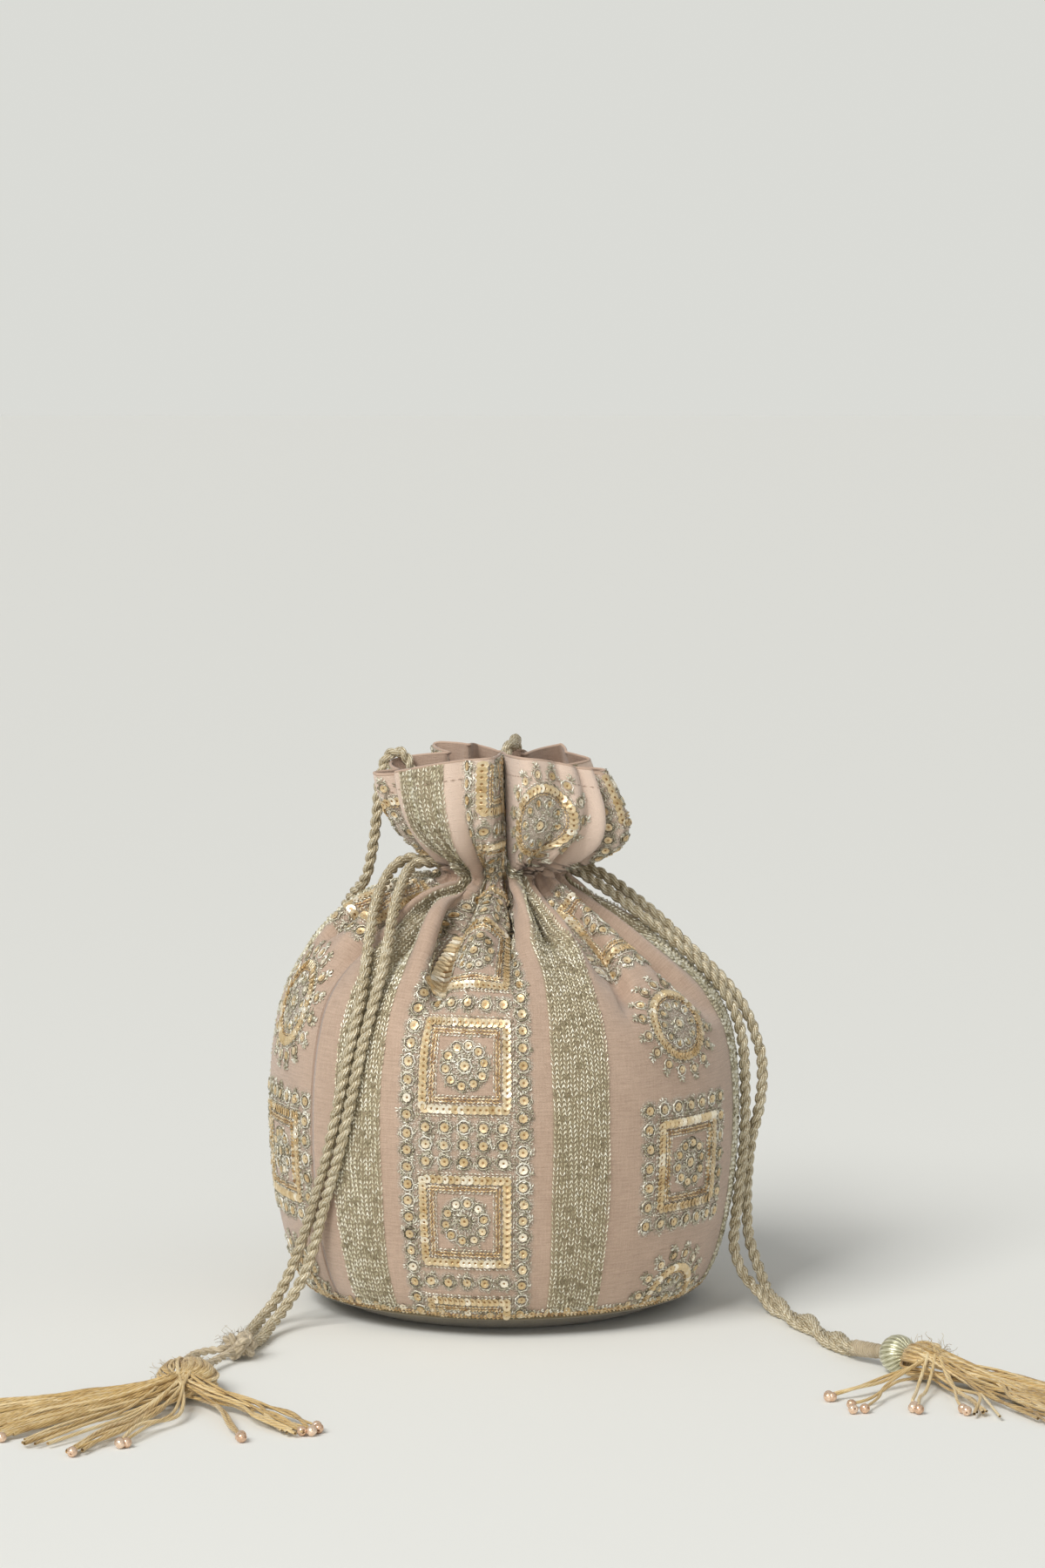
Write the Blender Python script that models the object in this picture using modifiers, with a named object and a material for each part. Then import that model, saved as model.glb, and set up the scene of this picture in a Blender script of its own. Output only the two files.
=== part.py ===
"""Potli bag: a gathered drawstring pouch on a domed base, with two tasselled cord pairs.

The bag stands on its base at z = 0, with its axis on Z and its front facing -Y.
Angles around the bag run from the front, positive towards +X.
"""
import math

import bmesh
import bpy
import numpy as np
from mathutils import Quaternion, Vector

MM = 0.001
CLEAR = 0.3 * MM

# Cloth body
WALL = 0.9 * MM
BASE_R = 72.0 * MM
BASE_Z = 7.5 * MM
BELLY_R = 85.8 * MM
BELLY_Z = 72.0 * MM
SHOULDER_R = 60.0 * MM
SHOULDER_Z = 137.0 * MM
NECK_R = 23.5 * MM
NECK_Z = 157.5 * MM
RIM_R = 43.5 * MM
RIM_Z = 200.0 * MM

# How far the stuffed bag leans, and how the ruffle puffs out and turns in
LEAN = 6.5 * MM
RUFFLE_PUFF = 5.0 * MM
RIM_TURN = 4.5 * MM
RIM_FLAT = 0.13
RIM_SADDLE = 4.5 * MM
RIM_DIP = 2.0 * MM

# Base panel and lining
CONTACT_R = 50.0 * MM
BASE_T = 1.2 * MM
ALLOWANCE = 0.36
LINING = 0.5 * MM
THROAT_R = 6.7 * MM
THROAT_DROP = 7.5 * MM
FLARE = 4.8 * MM

# Cords and what hangs on them
CORD_D = 4.0 * MM
LINK_D = 2.6 * MM
EXIT_LEFT = -80.0
EXIT_RIGHT = 112.0
SLOT_MARGIN = 0.8 * MM
BALL_D = 13.0 * MM
BINDING_D = 5.2 * MM
BINDING_L = 16.0 * MM
CORD_STEP = 11.5 * MM
STRAND_D = 1.8 * MM
BEAD_D = 3.4 * MM

# Folds: angle on the body, angle at the rim, height of the fold's foot, depth at the rim
FOLDS = (
    (-19, -19, 98, 3), (4, 0, 120, 28), (20, 30, 136, 3), (35, 46, 106, 4),
    (64, 60, 104, 22), (82, 78, 136, 5), (99, 97, 110, 7), (119, 117, 132, 18),
    (139, 138, 110, 6), (160, 160, 130, 20), (181, 182, 110, 7), (202, 204, 130, 14),
    (223, 225, 112, 18), (250, 254, 125, 7), (270, 275, 110, 6), (289, 295, 128, 16),
    (306, 311, 110, 2), (324, 325, 112, 2),
)
FOLD_FULL_Z = 148.0 * MM
CREASE = 1.6
COLUMNS_PER_FOLD = 4

# Rows of the wall: the span of the outline, and the places along it. The body and the ruffle
# meet in the casing seam at the neck.
BODY_ROWS = ((0, (0, 0.33, 0.67)), (1, (0, 0.3, 0.55, 0.78)), (2, (0, 0.25, 0.5, 0.75, 0.98)))
RUFFLE_ROWS = ((3, (0.01, 0.2, 0.42, 0.68, 1.0)),)

CORD_R = CORD_D / 2
BALL_R = BALL_D / 2
RING_R = THROAT_R + LINING + CLEAR + CORD_R
VALLEY_R = RING_R + CORD_R + CLEAR + WALL
PLEAT = NECK_R - VALLEY_R
RING_RIGHT_Z = NECK_Z
RING_LEFT_Z = NECK_Z + CORD_D + CLEAR
FLOOR_Z = 0.0

# The outline of the unfolded wall, radius and height, as four smooth spans
SPANS = (
    ((BASE_R, BASE_Z), (BASE_R + 9.0 * MM, BASE_Z + 7.5 * MM),
     (BELLY_R, BELLY_Z - 27.0 * MM), (BELLY_R, BELLY_Z)),
    ((BELLY_R, BELLY_Z), (BELLY_R, BELLY_Z + 40.0 * MM),
     (SHOULDER_R + 16.6 * MM, SHOULDER_Z - 14.4 * MM), (SHOULDER_R, SHOULDER_Z)),
    ((SHOULDER_R, SHOULDER_Z), (SHOULDER_R - 18.8 * MM, SHOULDER_Z + 16.4 * MM),
     (NECK_R, NECK_Z - 3.0 * MM), (NECK_R, NECK_Z)),
    ((NECK_R, NECK_Z), (NECK_R + 7.5 * MM, NECK_Z + 8.5 * MM),
     (RIM_R + 6.5 * MM, NECK_Z + 12.5 * MM), (RIM_R, RIM_Z)),
)

# Routes chosen by hand, in millimetres, each from just outside its exit
LEFT_OUTER = (
    (-33.8, -2.4, 163.0), (-39.3, -6.2, 160.7), (-43.0, -16.0, 156.2), (-45.7, -31.5, 149.2),
    (-47.5, -47.6, 138.7), (-50.2, -63.7, 119.0), (-55.0, -67.3, 97.6), (-58.9, -66.1, 78.8),
    (-63.5, -61.3, 59.2), (-69.4, -51.6, 38.6), (-72.8, -47.7, 28.0), (-77.2, -45.7, 16.8),
    (-81.8, -48.5, 8.2), (-86.9, -60.0, 3.4), (-90.0, -80.0, 2.5), (-92.9, -97.4, 3.3),
)
LEFT_INNER = (
    (-30.9, -9.4, 162.0), (-34.0, -13.6, 160.3), (-36.4, -24.5, 156.3), (-39.1, -41.5, 147.5),
    (-41.4, -57.9, 133.9), (-45.2, -66.9, 119.5), (-50.0, -70.3, 101.2), (-53.8, -70.1, 82.6),
    (-58.3, -66.5, 63.4), (-64.0, -58.9, 43.1), (-67.4, -54.6, 29.6), (-71.2, -54.6, 18.6),
    (-76.9, -58.5, 9.2), (-82.3, -70.0, 3.8), (-84.9, -84.0, 2.5), (-88.4, -97.4, 3.3),
)
RIGHT_FRONT = (
    (28.2, 5.6, 156.9), (33.0, 3.0, 154.1), (41.2, 0.0, 149.0), (49.1, -3.0, 143.2),
    (56.7, -5.0, 137.6), (64.2, -6.0, 131.4), (71.5, -6.0, 124.9), (78.3, -6.0, 117.6),
    (83.0, -6.0, 110.6), (85.7, -6.0, 104.0), (87.3, -6.0, 97.5), (88.1, -6.0, 91.0),
    (88.6, -6.0, 78.3), (88.5, -8.0, 65.7), (87.6, -10.0, 53.2), (86.0, -12.0, 40.6),
    (84.6, -14.0, 28.2), (84.4, -16.0, 21.0), (86.8, -18.5, 14.0), (90.5, -24.0, 8.2),
    (94.9, -32.0, 4.3), (98.9, -42.7, 2.8), (104.9, -60.6, 2.6), (110.1, -78.6, 2.6),
    (115.2, -95.9, 3.1), (119.6, -106.9, 4.2),
)
RIGHT_BACK = (
    (28.0, 13.2, 158.8), (33.9, 11.2, 156.9), (40.6, 9.0, 153.2), (47.5, 6.5, 148.1),
    (55.7, 4.0, 141.9), (62.3, 2.0, 135.9), (68.8, 0.5, 129.6), (76.0, -0.5, 122.9),
    (82.7, -1.0, 115.9), (87.4, -1.0, 109.3), (90.7, -1.0, 103.0), (92.8, -1.0, 96.7),
    (94.7, -1.5, 90.0), (95.1, -2.0, 80.6), (94.0, -2.5, 71.2), (92.4, -2.8, 64.5),
    (91.0, -3.5, 58.6), (89.9, -4.5, 49.0), (89.4, -5.0, 39.3), (89.8, -7.0, 26.5),
    (91.2, -9.5, 20.0), (93.5, -13.0, 13.5), (96.5, -18.5, 7.8), (99.8, -28.0, 4.2),
    (103.1, -41.3, 2.8), (109.2, -59.4, 2.6), (114.4, -77.4, 2.6), (119.4, -94.1, 3.1),
    (123.3, -104.5, 4.2),
)
CARRY_LOOP = (
    (-25.2, 13.2, 171.0), (-30.2, 14.8, 182.0), (-33.2, 15.8, 191.5), (-37.0, 18.6, 199.6),
    (-42.5, 20.6, 198.8), (-45.4, 21.2, 192.0), (-46.4, 21.0, 184.0), (-47.3, 21.0, 174.0),
    (-48.8, 21.0, 163.0),
    (-51.5, 23.5, 152.5), (-56.5, 32.0, 145.5), (-62.5, 43.5, 133.5), (-64.5, 53.5, 117.0),
    (-59.0, 66.0, 98.0), (-47.2, 75.3, 82.0), (-30.0, 83.5, 71.0), (-8.0, 88.4, 65.0),
    (14.0, 87.5, 68.0), (33.0, 82.0, 80.0), (44.2, 74.8, 98.0), (46.6, 65.6, 118.0),
    (38.0, 55.5, 134.5), (25.0, 47.0, 147.0), (13.5, 42.5, 160.0), (6.5, 44.5, 177.0),
    (5.0, 44.0, 193.0), (4.6, 38.5, 204.3), (4.2, 27.0, 206.0), (3.6, 12.0, 205.0),
    (2.8, 0.5, 205.0), (1.6, -6.0, 204.5), (0.6, -8.8, 198.5), (0.4, -9.2, 190.0),
    (0.4, -8.9, 181.0),
)
LINK = (
    (-96.9, -107.3, 4.2), (-101.5, -107.4, 3.6), (-106.0, -111.5, 3.2), (-108.2, -121.0, 3.2),
    (-107.9, -132.0, 4.2), (-104.8, -140.5, 5.0), (-101.5, -136.0, 4.4), (-99.6, -126.0, 3.5),
    (-96.2, -117.0, 3.6), (-93.6, -112.5, 4.2),
)
KNOT_AT = (-90.8, -104.5, 4.9)
KNOT_SIZE = (12.4, 14.0, 9.4)
BALL_AT = (135.0, -125.0, 6.5)
RIGHT_HEADING = (0.571, -0.815, 0.092)
LINK_STEP = 3.0
LEFT_HEAD_SIZE = (19.0, 35.0, 11.4)
RIGHT_HEAD_SIZE = (14.0, 17.0, 12.0)
LEFT_STRANDS = (
    ((-131.0, -168.0, 3.2), (-150.0, -171.0, 2.4), (-170.0, -176.0, 1.8)),
    ((-126.0, -190.0, 2.8), (-143.0, -206.0, 2.3), (-159.0, -223.0, 1.8)),
    ((-113.0, -198.0, 2.7), (-124.0, -222.0, 2.2), (-134.5, -242.0, 1.8)),
    ((-105.0, -196.0, 2.7), (-112.0, -214.0, 2.2), (-118.5, -230.0, 1.8)),
    ((-93.0, -192.0, 2.7), (-88.0, -208.0, 2.2), (-83.0, -222.0, 1.8)),
    ((-82.0, -186.0, 2.8), (-70.0, -200.0, 2.2), (-58.5, -211.0, 1.8)),
)
RIGHT_STRANDS = (
    ((128.5, -152.0, 2.6), (118.5, -161.0, 2.2), (109.5, -167.5, 1.8)),
    ((131.5, -159.0, 2.6), (123.0, -173.0, 2.2), (115.2, -184.8, 1.8)),
    ((139.8, -161.0, 2.5), (137.0, -173.0, 2.2), (135.0, -183.0, 1.8)),
    ((149.6, -160.0, 2.6), (151.0, -175.0, 2.2), (152.2, -187.0, 1.8)),
    ((160.0, -161.0, 2.7), (169.5, -181.0, 2.2), (178.0, -201.0, 1.8)),
    ((165.5, -147.0, 3.6), (182.0, -157.0, 2.4), (203.0, -168.5, 1.8)),
)

RUFFLE = len(SPANS) - 1


def smooth(share):
    share = np.clip(share, 0.0, 1.0)
    return share * share * (3.0 - 2.0 * share)


def outline(span, t):
    """Place and direction on the unfolded wall's outline, as (radius, height) pairs."""
    a, b, c, d = (np.array(point) for point in SPANS[span])
    u = 1.0 - t
    place = u ** 3 * a + 3 * u * u * t * b + 3 * u * t * t * c + t ** 3 * d
    slope = u * u * (b - a) + 2 * u * t * (c - b) + t * t * (d - c)
    return place, slope / np.hypot(*slope)


def fold_depths(span, t):
    """How deep each fold is at one height."""
    place, _ = outline(span, t)
    table = np.array(FOLDS, dtype=float)
    if span < RUFFLE:
        foot = table[:, 2] * MM
        return PLEAT * smooth((place[1] - foot) / (FOLD_FULL_Z - foot))
    share = smooth(t)
    return PLEAT * (1 - share) + table[:, 3] * MM * share


def wall_ring(span, t, places):
    """Points of the wall at one height. A whole number in places is the bottom of a fold."""
    (radius, height), (out, up) = outline(span, t)
    table = np.array(FOLDS, dtype=float)
    turn = smooth(t) if span == RUFFLE else 0.0
    angles = table[:, 0] + (table[:, 1] - table[:, 0]) * turn
    angles = np.append(angles, angles[0] + 360.0)
    low = np.floor(places).astype(int)
    angle = np.radians(angles[low] + (angles[low + 1] - angles[low]) * (places - low))
    nearest = np.round(places).astype(int)
    shape = (1.0 - 2.0 * np.abs(places - nearest)) ** CREASE
    depth = fold_depths(span, t)[nearest % len(FOLDS)] * shape
    if span == RUFFLE:
        swell = np.sin(angle) * (RUFFLE_PUFF * math.sin(math.pi * t) - RIM_TURN * t ** 4)
        radius = radius + swell - depth
        height = height + turn * (RIM_SADDLE * np.cos(2 * angle) - RIM_DIP)
    else:
        lean = {1: smooth(t), 2: 1.0 - smooth(t)}.get(span, 0.0)
        radius = radius - up * depth
        height = height + out * depth - LEAN * lean * np.sin(angle)
    flat = 1.0 - RIM_FLAT * turn
    return np.stack([radius * np.sin(angle), -radius * np.cos(angle) * flat,
                     height * np.ones_like(angle)], axis=1)


def inside(span, t, offset):
    """A point of the upright outline, moved into the bag by the offset."""
    place, (out, up) = outline(span, t)
    return place + offset * np.array([-up, out])


def smooth_path(points, step):
    """Points evenly spaced, about one step apart, on a smooth curve through the given points."""
    knots = np.array([tuple(point) for point in points])
    knots = np.vstack([2 * knots[0] - knots[1], knots, 2 * knots[-1] - knots[-2]])
    t = np.linspace(0.0, 1.0, 12, endpoint=False)[:, None]
    fine = []
    for before, start, end, after in zip(knots, knots[1:], knots[2:], knots[3:]):
        fine.append(0.5 * (2 * start + (end - before) * t
                           + (2 * before - 5 * start + 4 * end - after) * t ** 2
                           + (3 * start - before - 3 * end + after) * t ** 3))
    fine = np.vstack(fine + [knots[-2:-1]])
    along = np.append(0.0, np.cumsum(np.linalg.norm(np.diff(fine, axis=0), axis=1)))
    stops = np.linspace(0.0, along[-1], max(2, round(along[-1] / step) + 1))
    return [Vector([np.interp(stop, along, fine[:, axis]) for axis in range(3)]) for stop in stops]


def millimetres(points):
    return [Vector(point) * MM for point in points]


def heading_of(angle):
    """The directions straight out of the bag and around it, at an angle in degrees."""
    angle = math.radians(angle)
    out = Vector((math.sin(angle), -math.cos(angle), 0.0))
    around = Vector((math.cos(angle), math.sin(angle), 0.0))
    return out, around


def collection(name):
    group = bpy.data.collections.new(name)
    bpy.context.scene.collection.children.link(group)
    return group


def material(name, colour, roughness, metallic=0.0):
    skin = bpy.data.materials.new(name)
    skin.use_nodes = True
    shader = skin.node_tree.nodes["Principled BSDF"]
    shader.inputs["Base Color"].default_value = (*colour, 1.0)
    shader.inputs["Roughness"].default_value = roughness
    shader.inputs["Metallic"].default_value = metallic
    return skin


def add_object(name, data, skin, group):
    thing = bpy.data.objects.new(name, data)
    data.materials.append(skin)
    group.objects.link(thing)
    return thing


def mesh_from(name, build, skin, group):
    """An object whose mesh a function has built in a bmesh."""
    bm = bmesh.new()
    build(bm)
    mesh = bpy.data.meshes.new(name)
    bm.to_mesh(mesh)
    bm.free()
    mesh.shade_smooth()
    return add_object(name, mesh, skin, group)


def solidify(thing, thickness):
    shell = thing.modifiers.new("Thickness", "SOLIDIFY")
    shell.thickness = thickness
    shell.offset = -1.0


def turned(name, profile, steps, thickness, skin, group):
    """A shell turned about Z from a profile that runs down its outer side."""
    def build(bm):
        points = [bm.verts.new((radius, 0.0, height)) for radius, height in profile]
        for upper, lower in zip(points, points[1:]):
            bm.edges.new((upper, lower))

    thing = mesh_from(name, build, skin, group)
    screw = thing.modifiers.new("Turn", "SCREW")
    screw.steps = screw.render_steps = steps
    screw.use_merge_vertices = True
    screw.merge_threshold = 0.00001
    solidify(thing, thickness)
    return thing


def tube(name, points, diameter, step, skin, group):
    """A round cord along a smooth curve through its points."""
    path = smooth_path(points, step)
    curve = bpy.data.curves.new(name, "CURVE")
    curve.dimensions = "3D"
    curve.bevel_depth = diameter / 2
    curve.bevel_resolution = 2
    curve.use_fill_caps = True
    spline = curve.splines.new("POLY")
    spline.points.add(len(path) - 1)
    for point, place in zip(spline.points, path):
        point.co = (*place, 1.0)
    return add_object(name, curve, skin, group)


def ellipsoid(name, centre, size, segments, rings, skin, group, heading=None):
    def build(bm):
        bmesh.ops.create_uvsphere(bm, u_segments=segments, v_segments=rings, radius=0.5)
        bmesh.ops.scale(bm, vec=size, verts=bm.verts)

    thing = mesh_from(name, build, skin, group)
    thing.location = centre
    if heading:
        thing.rotation_mode = "QUATERNION"
        thing.rotation_quaternion = Vector(heading).to_track_quat("-Y", "Z")
    return thing


def slot_cutter(name, angle, height, group):
    """The eyelet that two cords share on their way out of the gathered neck."""
    out, around = heading_of(angle)
    length = NECK_R - RING_R + 6.0 * MM
    width = 2 * CORD_D + CLEAR + 2 * SLOT_MARGIN

    def build(bm):
        bmesh.ops.create_cube(bm, size=1.0)
        bmesh.ops.scale(bm, vec=(width, length, CORD_D + 2 * SLOT_MARGIN), verts=bm.verts)

    mesh = bpy.data.meshes.new(name)
    bm = bmesh.new()
    build(bm)
    bm.to_mesh(mesh)
    bm.free()
    cutter = bpy.data.objects.new(name, mesh)
    group.objects.link(cutter)
    cutter.location = out * (RING_R + CORD_R + length / 2) + Vector((0.0, 0.0, height))
    cutter.rotation_euler.z = math.radians(angle)
    cutter.hide_render = True
    cutter.display_type = "WIRE"
    return cutter


def patterned_cloth(name, rows, skin, group, cutters):
    """A length of the patterned cloth, smooth on the belly and pleated towards the neck."""
    places = np.arange(len(FOLDS) * COLUMNS_PER_FOLD) / COLUMNS_PER_FOLD

    def build(bm):
        rings = []
        for span, stops in rows:
            for t in stops:
                rings.append([bm.verts.new(point) for point in wall_ring(span, t, places)])
        for lower, upper in zip(rings, rings[1:]):
            for k in range(len(places)):
                after = (k + 1) % len(places)
                bm.faces.new((lower[k], lower[after], upper[after], upper[k]))

    wall = mesh_from(name, build, skin, group)
    solidify(wall, WALL)
    for cutter in cutters:
        cut = wall.modifiers.new(cutter.name, "BOOLEAN")
        cut.object = cutter
        cut.operation = "DIFFERENCE"
        cut.solver = "EXACT"
    return wall


def dome():
    """The base panel's underside, from the flat middle out to the seam inside the wall."""
    seam = inside(0, 0.0, WALL + CLEAR)
    _, slope = outline(0, 0.0)
    a = np.array([CONTACT_R, 0.0])
    b = np.array([CONTACT_R + 10.0 * MM, 0.0])
    c = seam - slope * 5.0 * MM
    points = [np.array([0.0, 0.0]), a]
    for t in (0.35, 0.7):
        u = 1.0 - t
        points.append(u ** 3 * a + 3 * u * u * t * b + 3 * u * t * t * c + t ** 3 * seam)
    return points + [seam]


def along_first_row(offset):
    """The seam allowance's top edge, on the chord between the wall's two lowest rows."""
    low = inside(0, 0.0, offset)
    high = inside(0, BODY_ROWS[0][1][1], offset)
    return low + (high - low) * ALLOWANCE


def base_panel(skin, group):
    """The domed base disc, whose turned-up edge is sewn inside the wall."""
    profile = dome() + [along_first_row(WALL + CLEAR)]
    return turned("base_panel", profile[::-1], 40, BASE_T, skin, group)


def lining_profile():
    """The lining's outer side, from the centre of the base up through the throat."""
    lift = np.array([0.0, BASE_T + CLEAR])
    back = BASE_T + CLEAR
    points = [dome()[0] + lift, dome()[1] + lift]
    points.append(dome()[3] + np.array([-0.35, 1.0]) * back)
    points.append(inside(0, 0.0, WALL + CLEAR + back))
    points.append(along_first_row(WALL + CLEAR + back + CLEAR))
    lowest_foot = min(fold[2] for fold in FOLDS) * MM
    for span, stops in BODY_ROWS:
        for t in stops:
            place, _ = outline(span, t)
            if (span, t) == (0, 0) or (span == 2 and t > 0.3):
                continue
            tuck = PLEAT * smooth((place[1] - lowest_foot) / (FOLD_FULL_Z - lowest_foot))
            give = LEAN * {1: smooth(t), 2: 1.0 - smooth(t)}.get(span, 0.0)
            points.append(inside(span, t, WALL + CLEAR + tuck + give))
    throat_r = THROAT_R + LINING
    a = points[-1]
    b = a + np.array([-10.0, 5.0]) * MM
    c = np.array([throat_r, NECK_Z - 2.0 * THROAT_DROP])
    d = np.array([throat_r, NECK_Z - THROAT_DROP])
    for t in (0.5, 1.0):
        u = 1.0 - t
        points.append(u ** 3 * a + 3 * u * u * t * b + 3 * u * t * t * c + t ** 3 * d)
    top = RING_LEFT_Z + CORD_R + CLEAR + LINING
    points.append(np.array([throat_r, top]))
    points.append(np.array([throat_r + FLARE, top + 0.4 * FLARE]))
    return points


def lining(skin, group):
    return turned("lining", lining_profile()[::-1], 28, LINING, skin, group)


def draw_ring(name, angle, height, skin, group):
    """The stretch of cord hidden in the neck's casing, open where its ends leave."""
    gap = math.asin(CORD_D / RING_R)
    start = math.radians(angle) + gap
    sweep = 2 * math.pi - 2 * gap
    points = []
    for k in range(21):
        turn = start + sweep * k / 20
        points.append((RING_R * math.sin(turn), -RING_R * math.cos(turn), height))
    return tube(name, points, CORD_D, RING_R * sweep / 20, skin, group)


def exit_points(angle, height, side):
    """A cord's straight way out of the casing, beside its partner."""
    out, around = heading_of(angle)
    beside = around * side * (CORD_D + CLEAR) / 2 + Vector((0.0, 0.0, height))
    return [out * radius + beside for radius in (RING_R, (RING_R + NECK_R) / 2, NECK_R + 1.5 * MM)]


def free_cord(name, angle, height, side, route, skin, group):
    points = exit_points(angle, height, side) + millimetres(route)
    return tube(name, points, CORD_D, CORD_STEP, skin, group)


def root_on(head, size, target):
    """Where a strand that makes for a target leaves its tassel's head."""
    turn = head.rotation_quaternion if head.rotation_mode == "QUATERNION" else Quaternion()
    way = (target - head.location).normalized()
    local = turn.inverted() @ way
    reach = 1.0 / math.sqrt(sum((2 * part / full) ** 2 for part, full in zip(local, size)))
    return head.location + way * (reach + CLEAR)


def tassel(side, head, size, strands, strand_skin, bead_skin, group):
    """A tassel's strands, each with a bead sewn to its tip."""
    for number, route in enumerate(strands, 1):
        points = millimetres(route)
        points.insert(0, root_on(head, size, points[0]))
        tube(f"tassel_{side}_strand_{number}", points, STRAND_D, 16.0 * MM, strand_skin, group)
        way = (points[-1] - points[-2]).normalized()
        centre = points[-1] + way * (BEAD_D / 2 + CLEAR)
        centre.z = max(centre.z, FLOOR_Z + BEAD_D / 2)
        ellipsoid(f"tassel_{side}_bead_{number}", centre, (BEAD_D,) * 3, 7, 4, bead_skin, group)


def right_end(cord_skin, ball_skin, strand_skin, group):
    """The thread binding, the wound ball and the tassel's head, in line on the right cords."""
    way = Vector(RIGHT_HEADING).normalized()
    ball_at = Vector(BALL_AT) * MM
    ellipsoid("ball_right", ball_at, (BALL_D,) * 3, 16, 10, ball_skin, group)
    near = ball_at - way * (BALL_R + CLEAR)
    centre = near - way * BINDING_L / 2

    def build(bm):
        bmesh.ops.create_cone(bm, cap_ends=True, segments=14, radius1=BINDING_D / 2,
                              radius2=BINDING_D / 2, depth=BINDING_L)

    binding = mesh_from("binding_right", build, cord_skin, group)
    binding.data.set_sharp_from_angle(angle=math.radians(40))
    binding.location = centre
    binding.rotation_mode = "QUATERNION"
    binding.rotation_quaternion = way.to_track_quat("Z", "Y")
    size = Vector(RIGHT_HEAD_SIZE) * MM
    head_at = ball_at + way * (BALL_R + CLEAR + size.y / 2)
    head_at.z = size.z / 2 + CLEAR
    flat_way = Vector((way.x, way.y, 0.0))
    head = ellipsoid("tassel_right_head", head_at, size, 12, 8, strand_skin, group, flat_way)
    return head, size


def left_end(cord_skin, strand_skin, group):
    """The overhand knot, the small link loop and the tassel folded over it."""
    ellipsoid("knot_left", Vector(KNOT_AT) * MM, Vector(KNOT_SIZE) * MM, 12, 8, cord_skin, group)
    link = millimetres(LINK)
    tube("link_left", link, LINK_D, LINK_STEP * MM, cord_skin, group)
    size = Vector(LEFT_HEAD_SIZE) * MM
    head_at = min(smooth_path(link, LINK_STEP * MM), key=lambda place: place.y).copy()
    rise = head_at.z - CLEAR - size.z / 2
    half_length = size.y / 2 * math.sqrt(1.0 - (2 * rise / size.z) ** 2)
    head_at.y -= LINK_D / 2 + CLEAR + half_length
    head_at.z -= rise
    head = ellipsoid("tassel_left_head", head_at, size, 12, 8, strand_skin, group)
    return head, size


def main():
    for thing in list(bpy.data.objects):
        bpy.data.objects.remove(thing)
    parts = collection("potli_bag")
    cutters = collection("cutters")

    cloth = material("rose_cloth", (0.50, 0.34, 0.28), 0.75)
    base_cloth = material("base_cloth", (0.30, 0.29, 0.19), 0.8)
    lining_cloth = material("lining_cloth", (0.46, 0.31, 0.26), 0.7)
    cord = material("sage_cord", (0.42, 0.37, 0.24), 0.55, 0.2)
    zari = material("zari_ball", (0.45, 0.43, 0.27), 0.35, 0.6)
    gold = material("gold_thread", (0.55, 0.40, 0.15), 0.45, 0.3)
    bead = material("rose_gold_bead", (0.75, 0.42, 0.28), 0.25, 0.8)

    slots = [slot_cutter("slot_left", EXIT_LEFT, RING_LEFT_Z, cutters),
             slot_cutter("slot_right", EXIT_RIGHT, RING_RIGHT_Z, cutters)]
    patterned_cloth("outer_wall", BODY_ROWS, cloth, parts, slots)
    patterned_cloth("ruffle", RUFFLE_ROWS, cloth, parts, slots)
    base_panel(base_cloth, parts)
    lining(lining_cloth, parts)

    draw_ring("drawcord_left_loop", EXIT_LEFT, RING_LEFT_Z, cord, parts)
    draw_ring("drawcord_right_loop", EXIT_RIGHT, RING_RIGHT_Z, cord, parts)
    free_cord("drawcord_left_a", EXIT_LEFT, RING_LEFT_Z, -1, LEFT_OUTER, cord, parts)
    free_cord("drawcord_left_b", EXIT_LEFT, RING_LEFT_Z, 1, LEFT_INNER, cord, parts)
    free_cord("drawcord_right_a", EXIT_RIGHT, RING_RIGHT_Z, -1, RIGHT_FRONT, cord, parts)
    free_cord("drawcord_right_b", EXIT_RIGHT, RING_RIGHT_Z, 1, RIGHT_BACK, cord, parts)
    tube("carry_loop", millimetres(CARRY_LOOP), CORD_D, CORD_STEP, cord, parts)

    head, size = left_end(cord, gold, parts)
    tassel("left", head, size, LEFT_STRANDS, gold, bead, parts)
    head, size = right_end(cord, zari, gold, parts)
    tassel("right", head, size, RIGHT_STRANDS, gold, bead, parts)


main()
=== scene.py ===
"""Looks of the gathered potli bag: rose raw silk, sequin work, twisted cords and gold tassels.

Flat cloth is measured in millimetres: u runs around the bag from the middle of the front, to the
right, and v runs up from the base seam. Places in the room are in metres.
"""
from math import acos, atan2, cos, degrees, hypot, pi, radians, sin

import bpy
import numpy as np
from mathutils import Matrix, Vector


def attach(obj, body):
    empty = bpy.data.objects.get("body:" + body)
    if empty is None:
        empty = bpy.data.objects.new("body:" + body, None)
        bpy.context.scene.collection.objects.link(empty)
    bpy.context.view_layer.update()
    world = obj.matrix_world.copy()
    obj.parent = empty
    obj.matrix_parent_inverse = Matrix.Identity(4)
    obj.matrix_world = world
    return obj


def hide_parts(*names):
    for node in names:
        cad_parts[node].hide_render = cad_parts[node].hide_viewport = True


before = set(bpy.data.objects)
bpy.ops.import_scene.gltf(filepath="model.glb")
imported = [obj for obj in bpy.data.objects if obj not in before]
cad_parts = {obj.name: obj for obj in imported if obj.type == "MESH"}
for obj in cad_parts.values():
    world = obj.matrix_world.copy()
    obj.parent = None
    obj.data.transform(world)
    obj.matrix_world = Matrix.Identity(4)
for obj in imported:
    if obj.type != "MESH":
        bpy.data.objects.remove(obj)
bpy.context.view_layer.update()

MM = 0.001
ROUND = 2 * pi
CLOTH_W = 539
CLOTH_H = 243
NECK_V = 188
SEAM_U = -78.6
PER_DEGREE = CLOTH_W / 360
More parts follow.
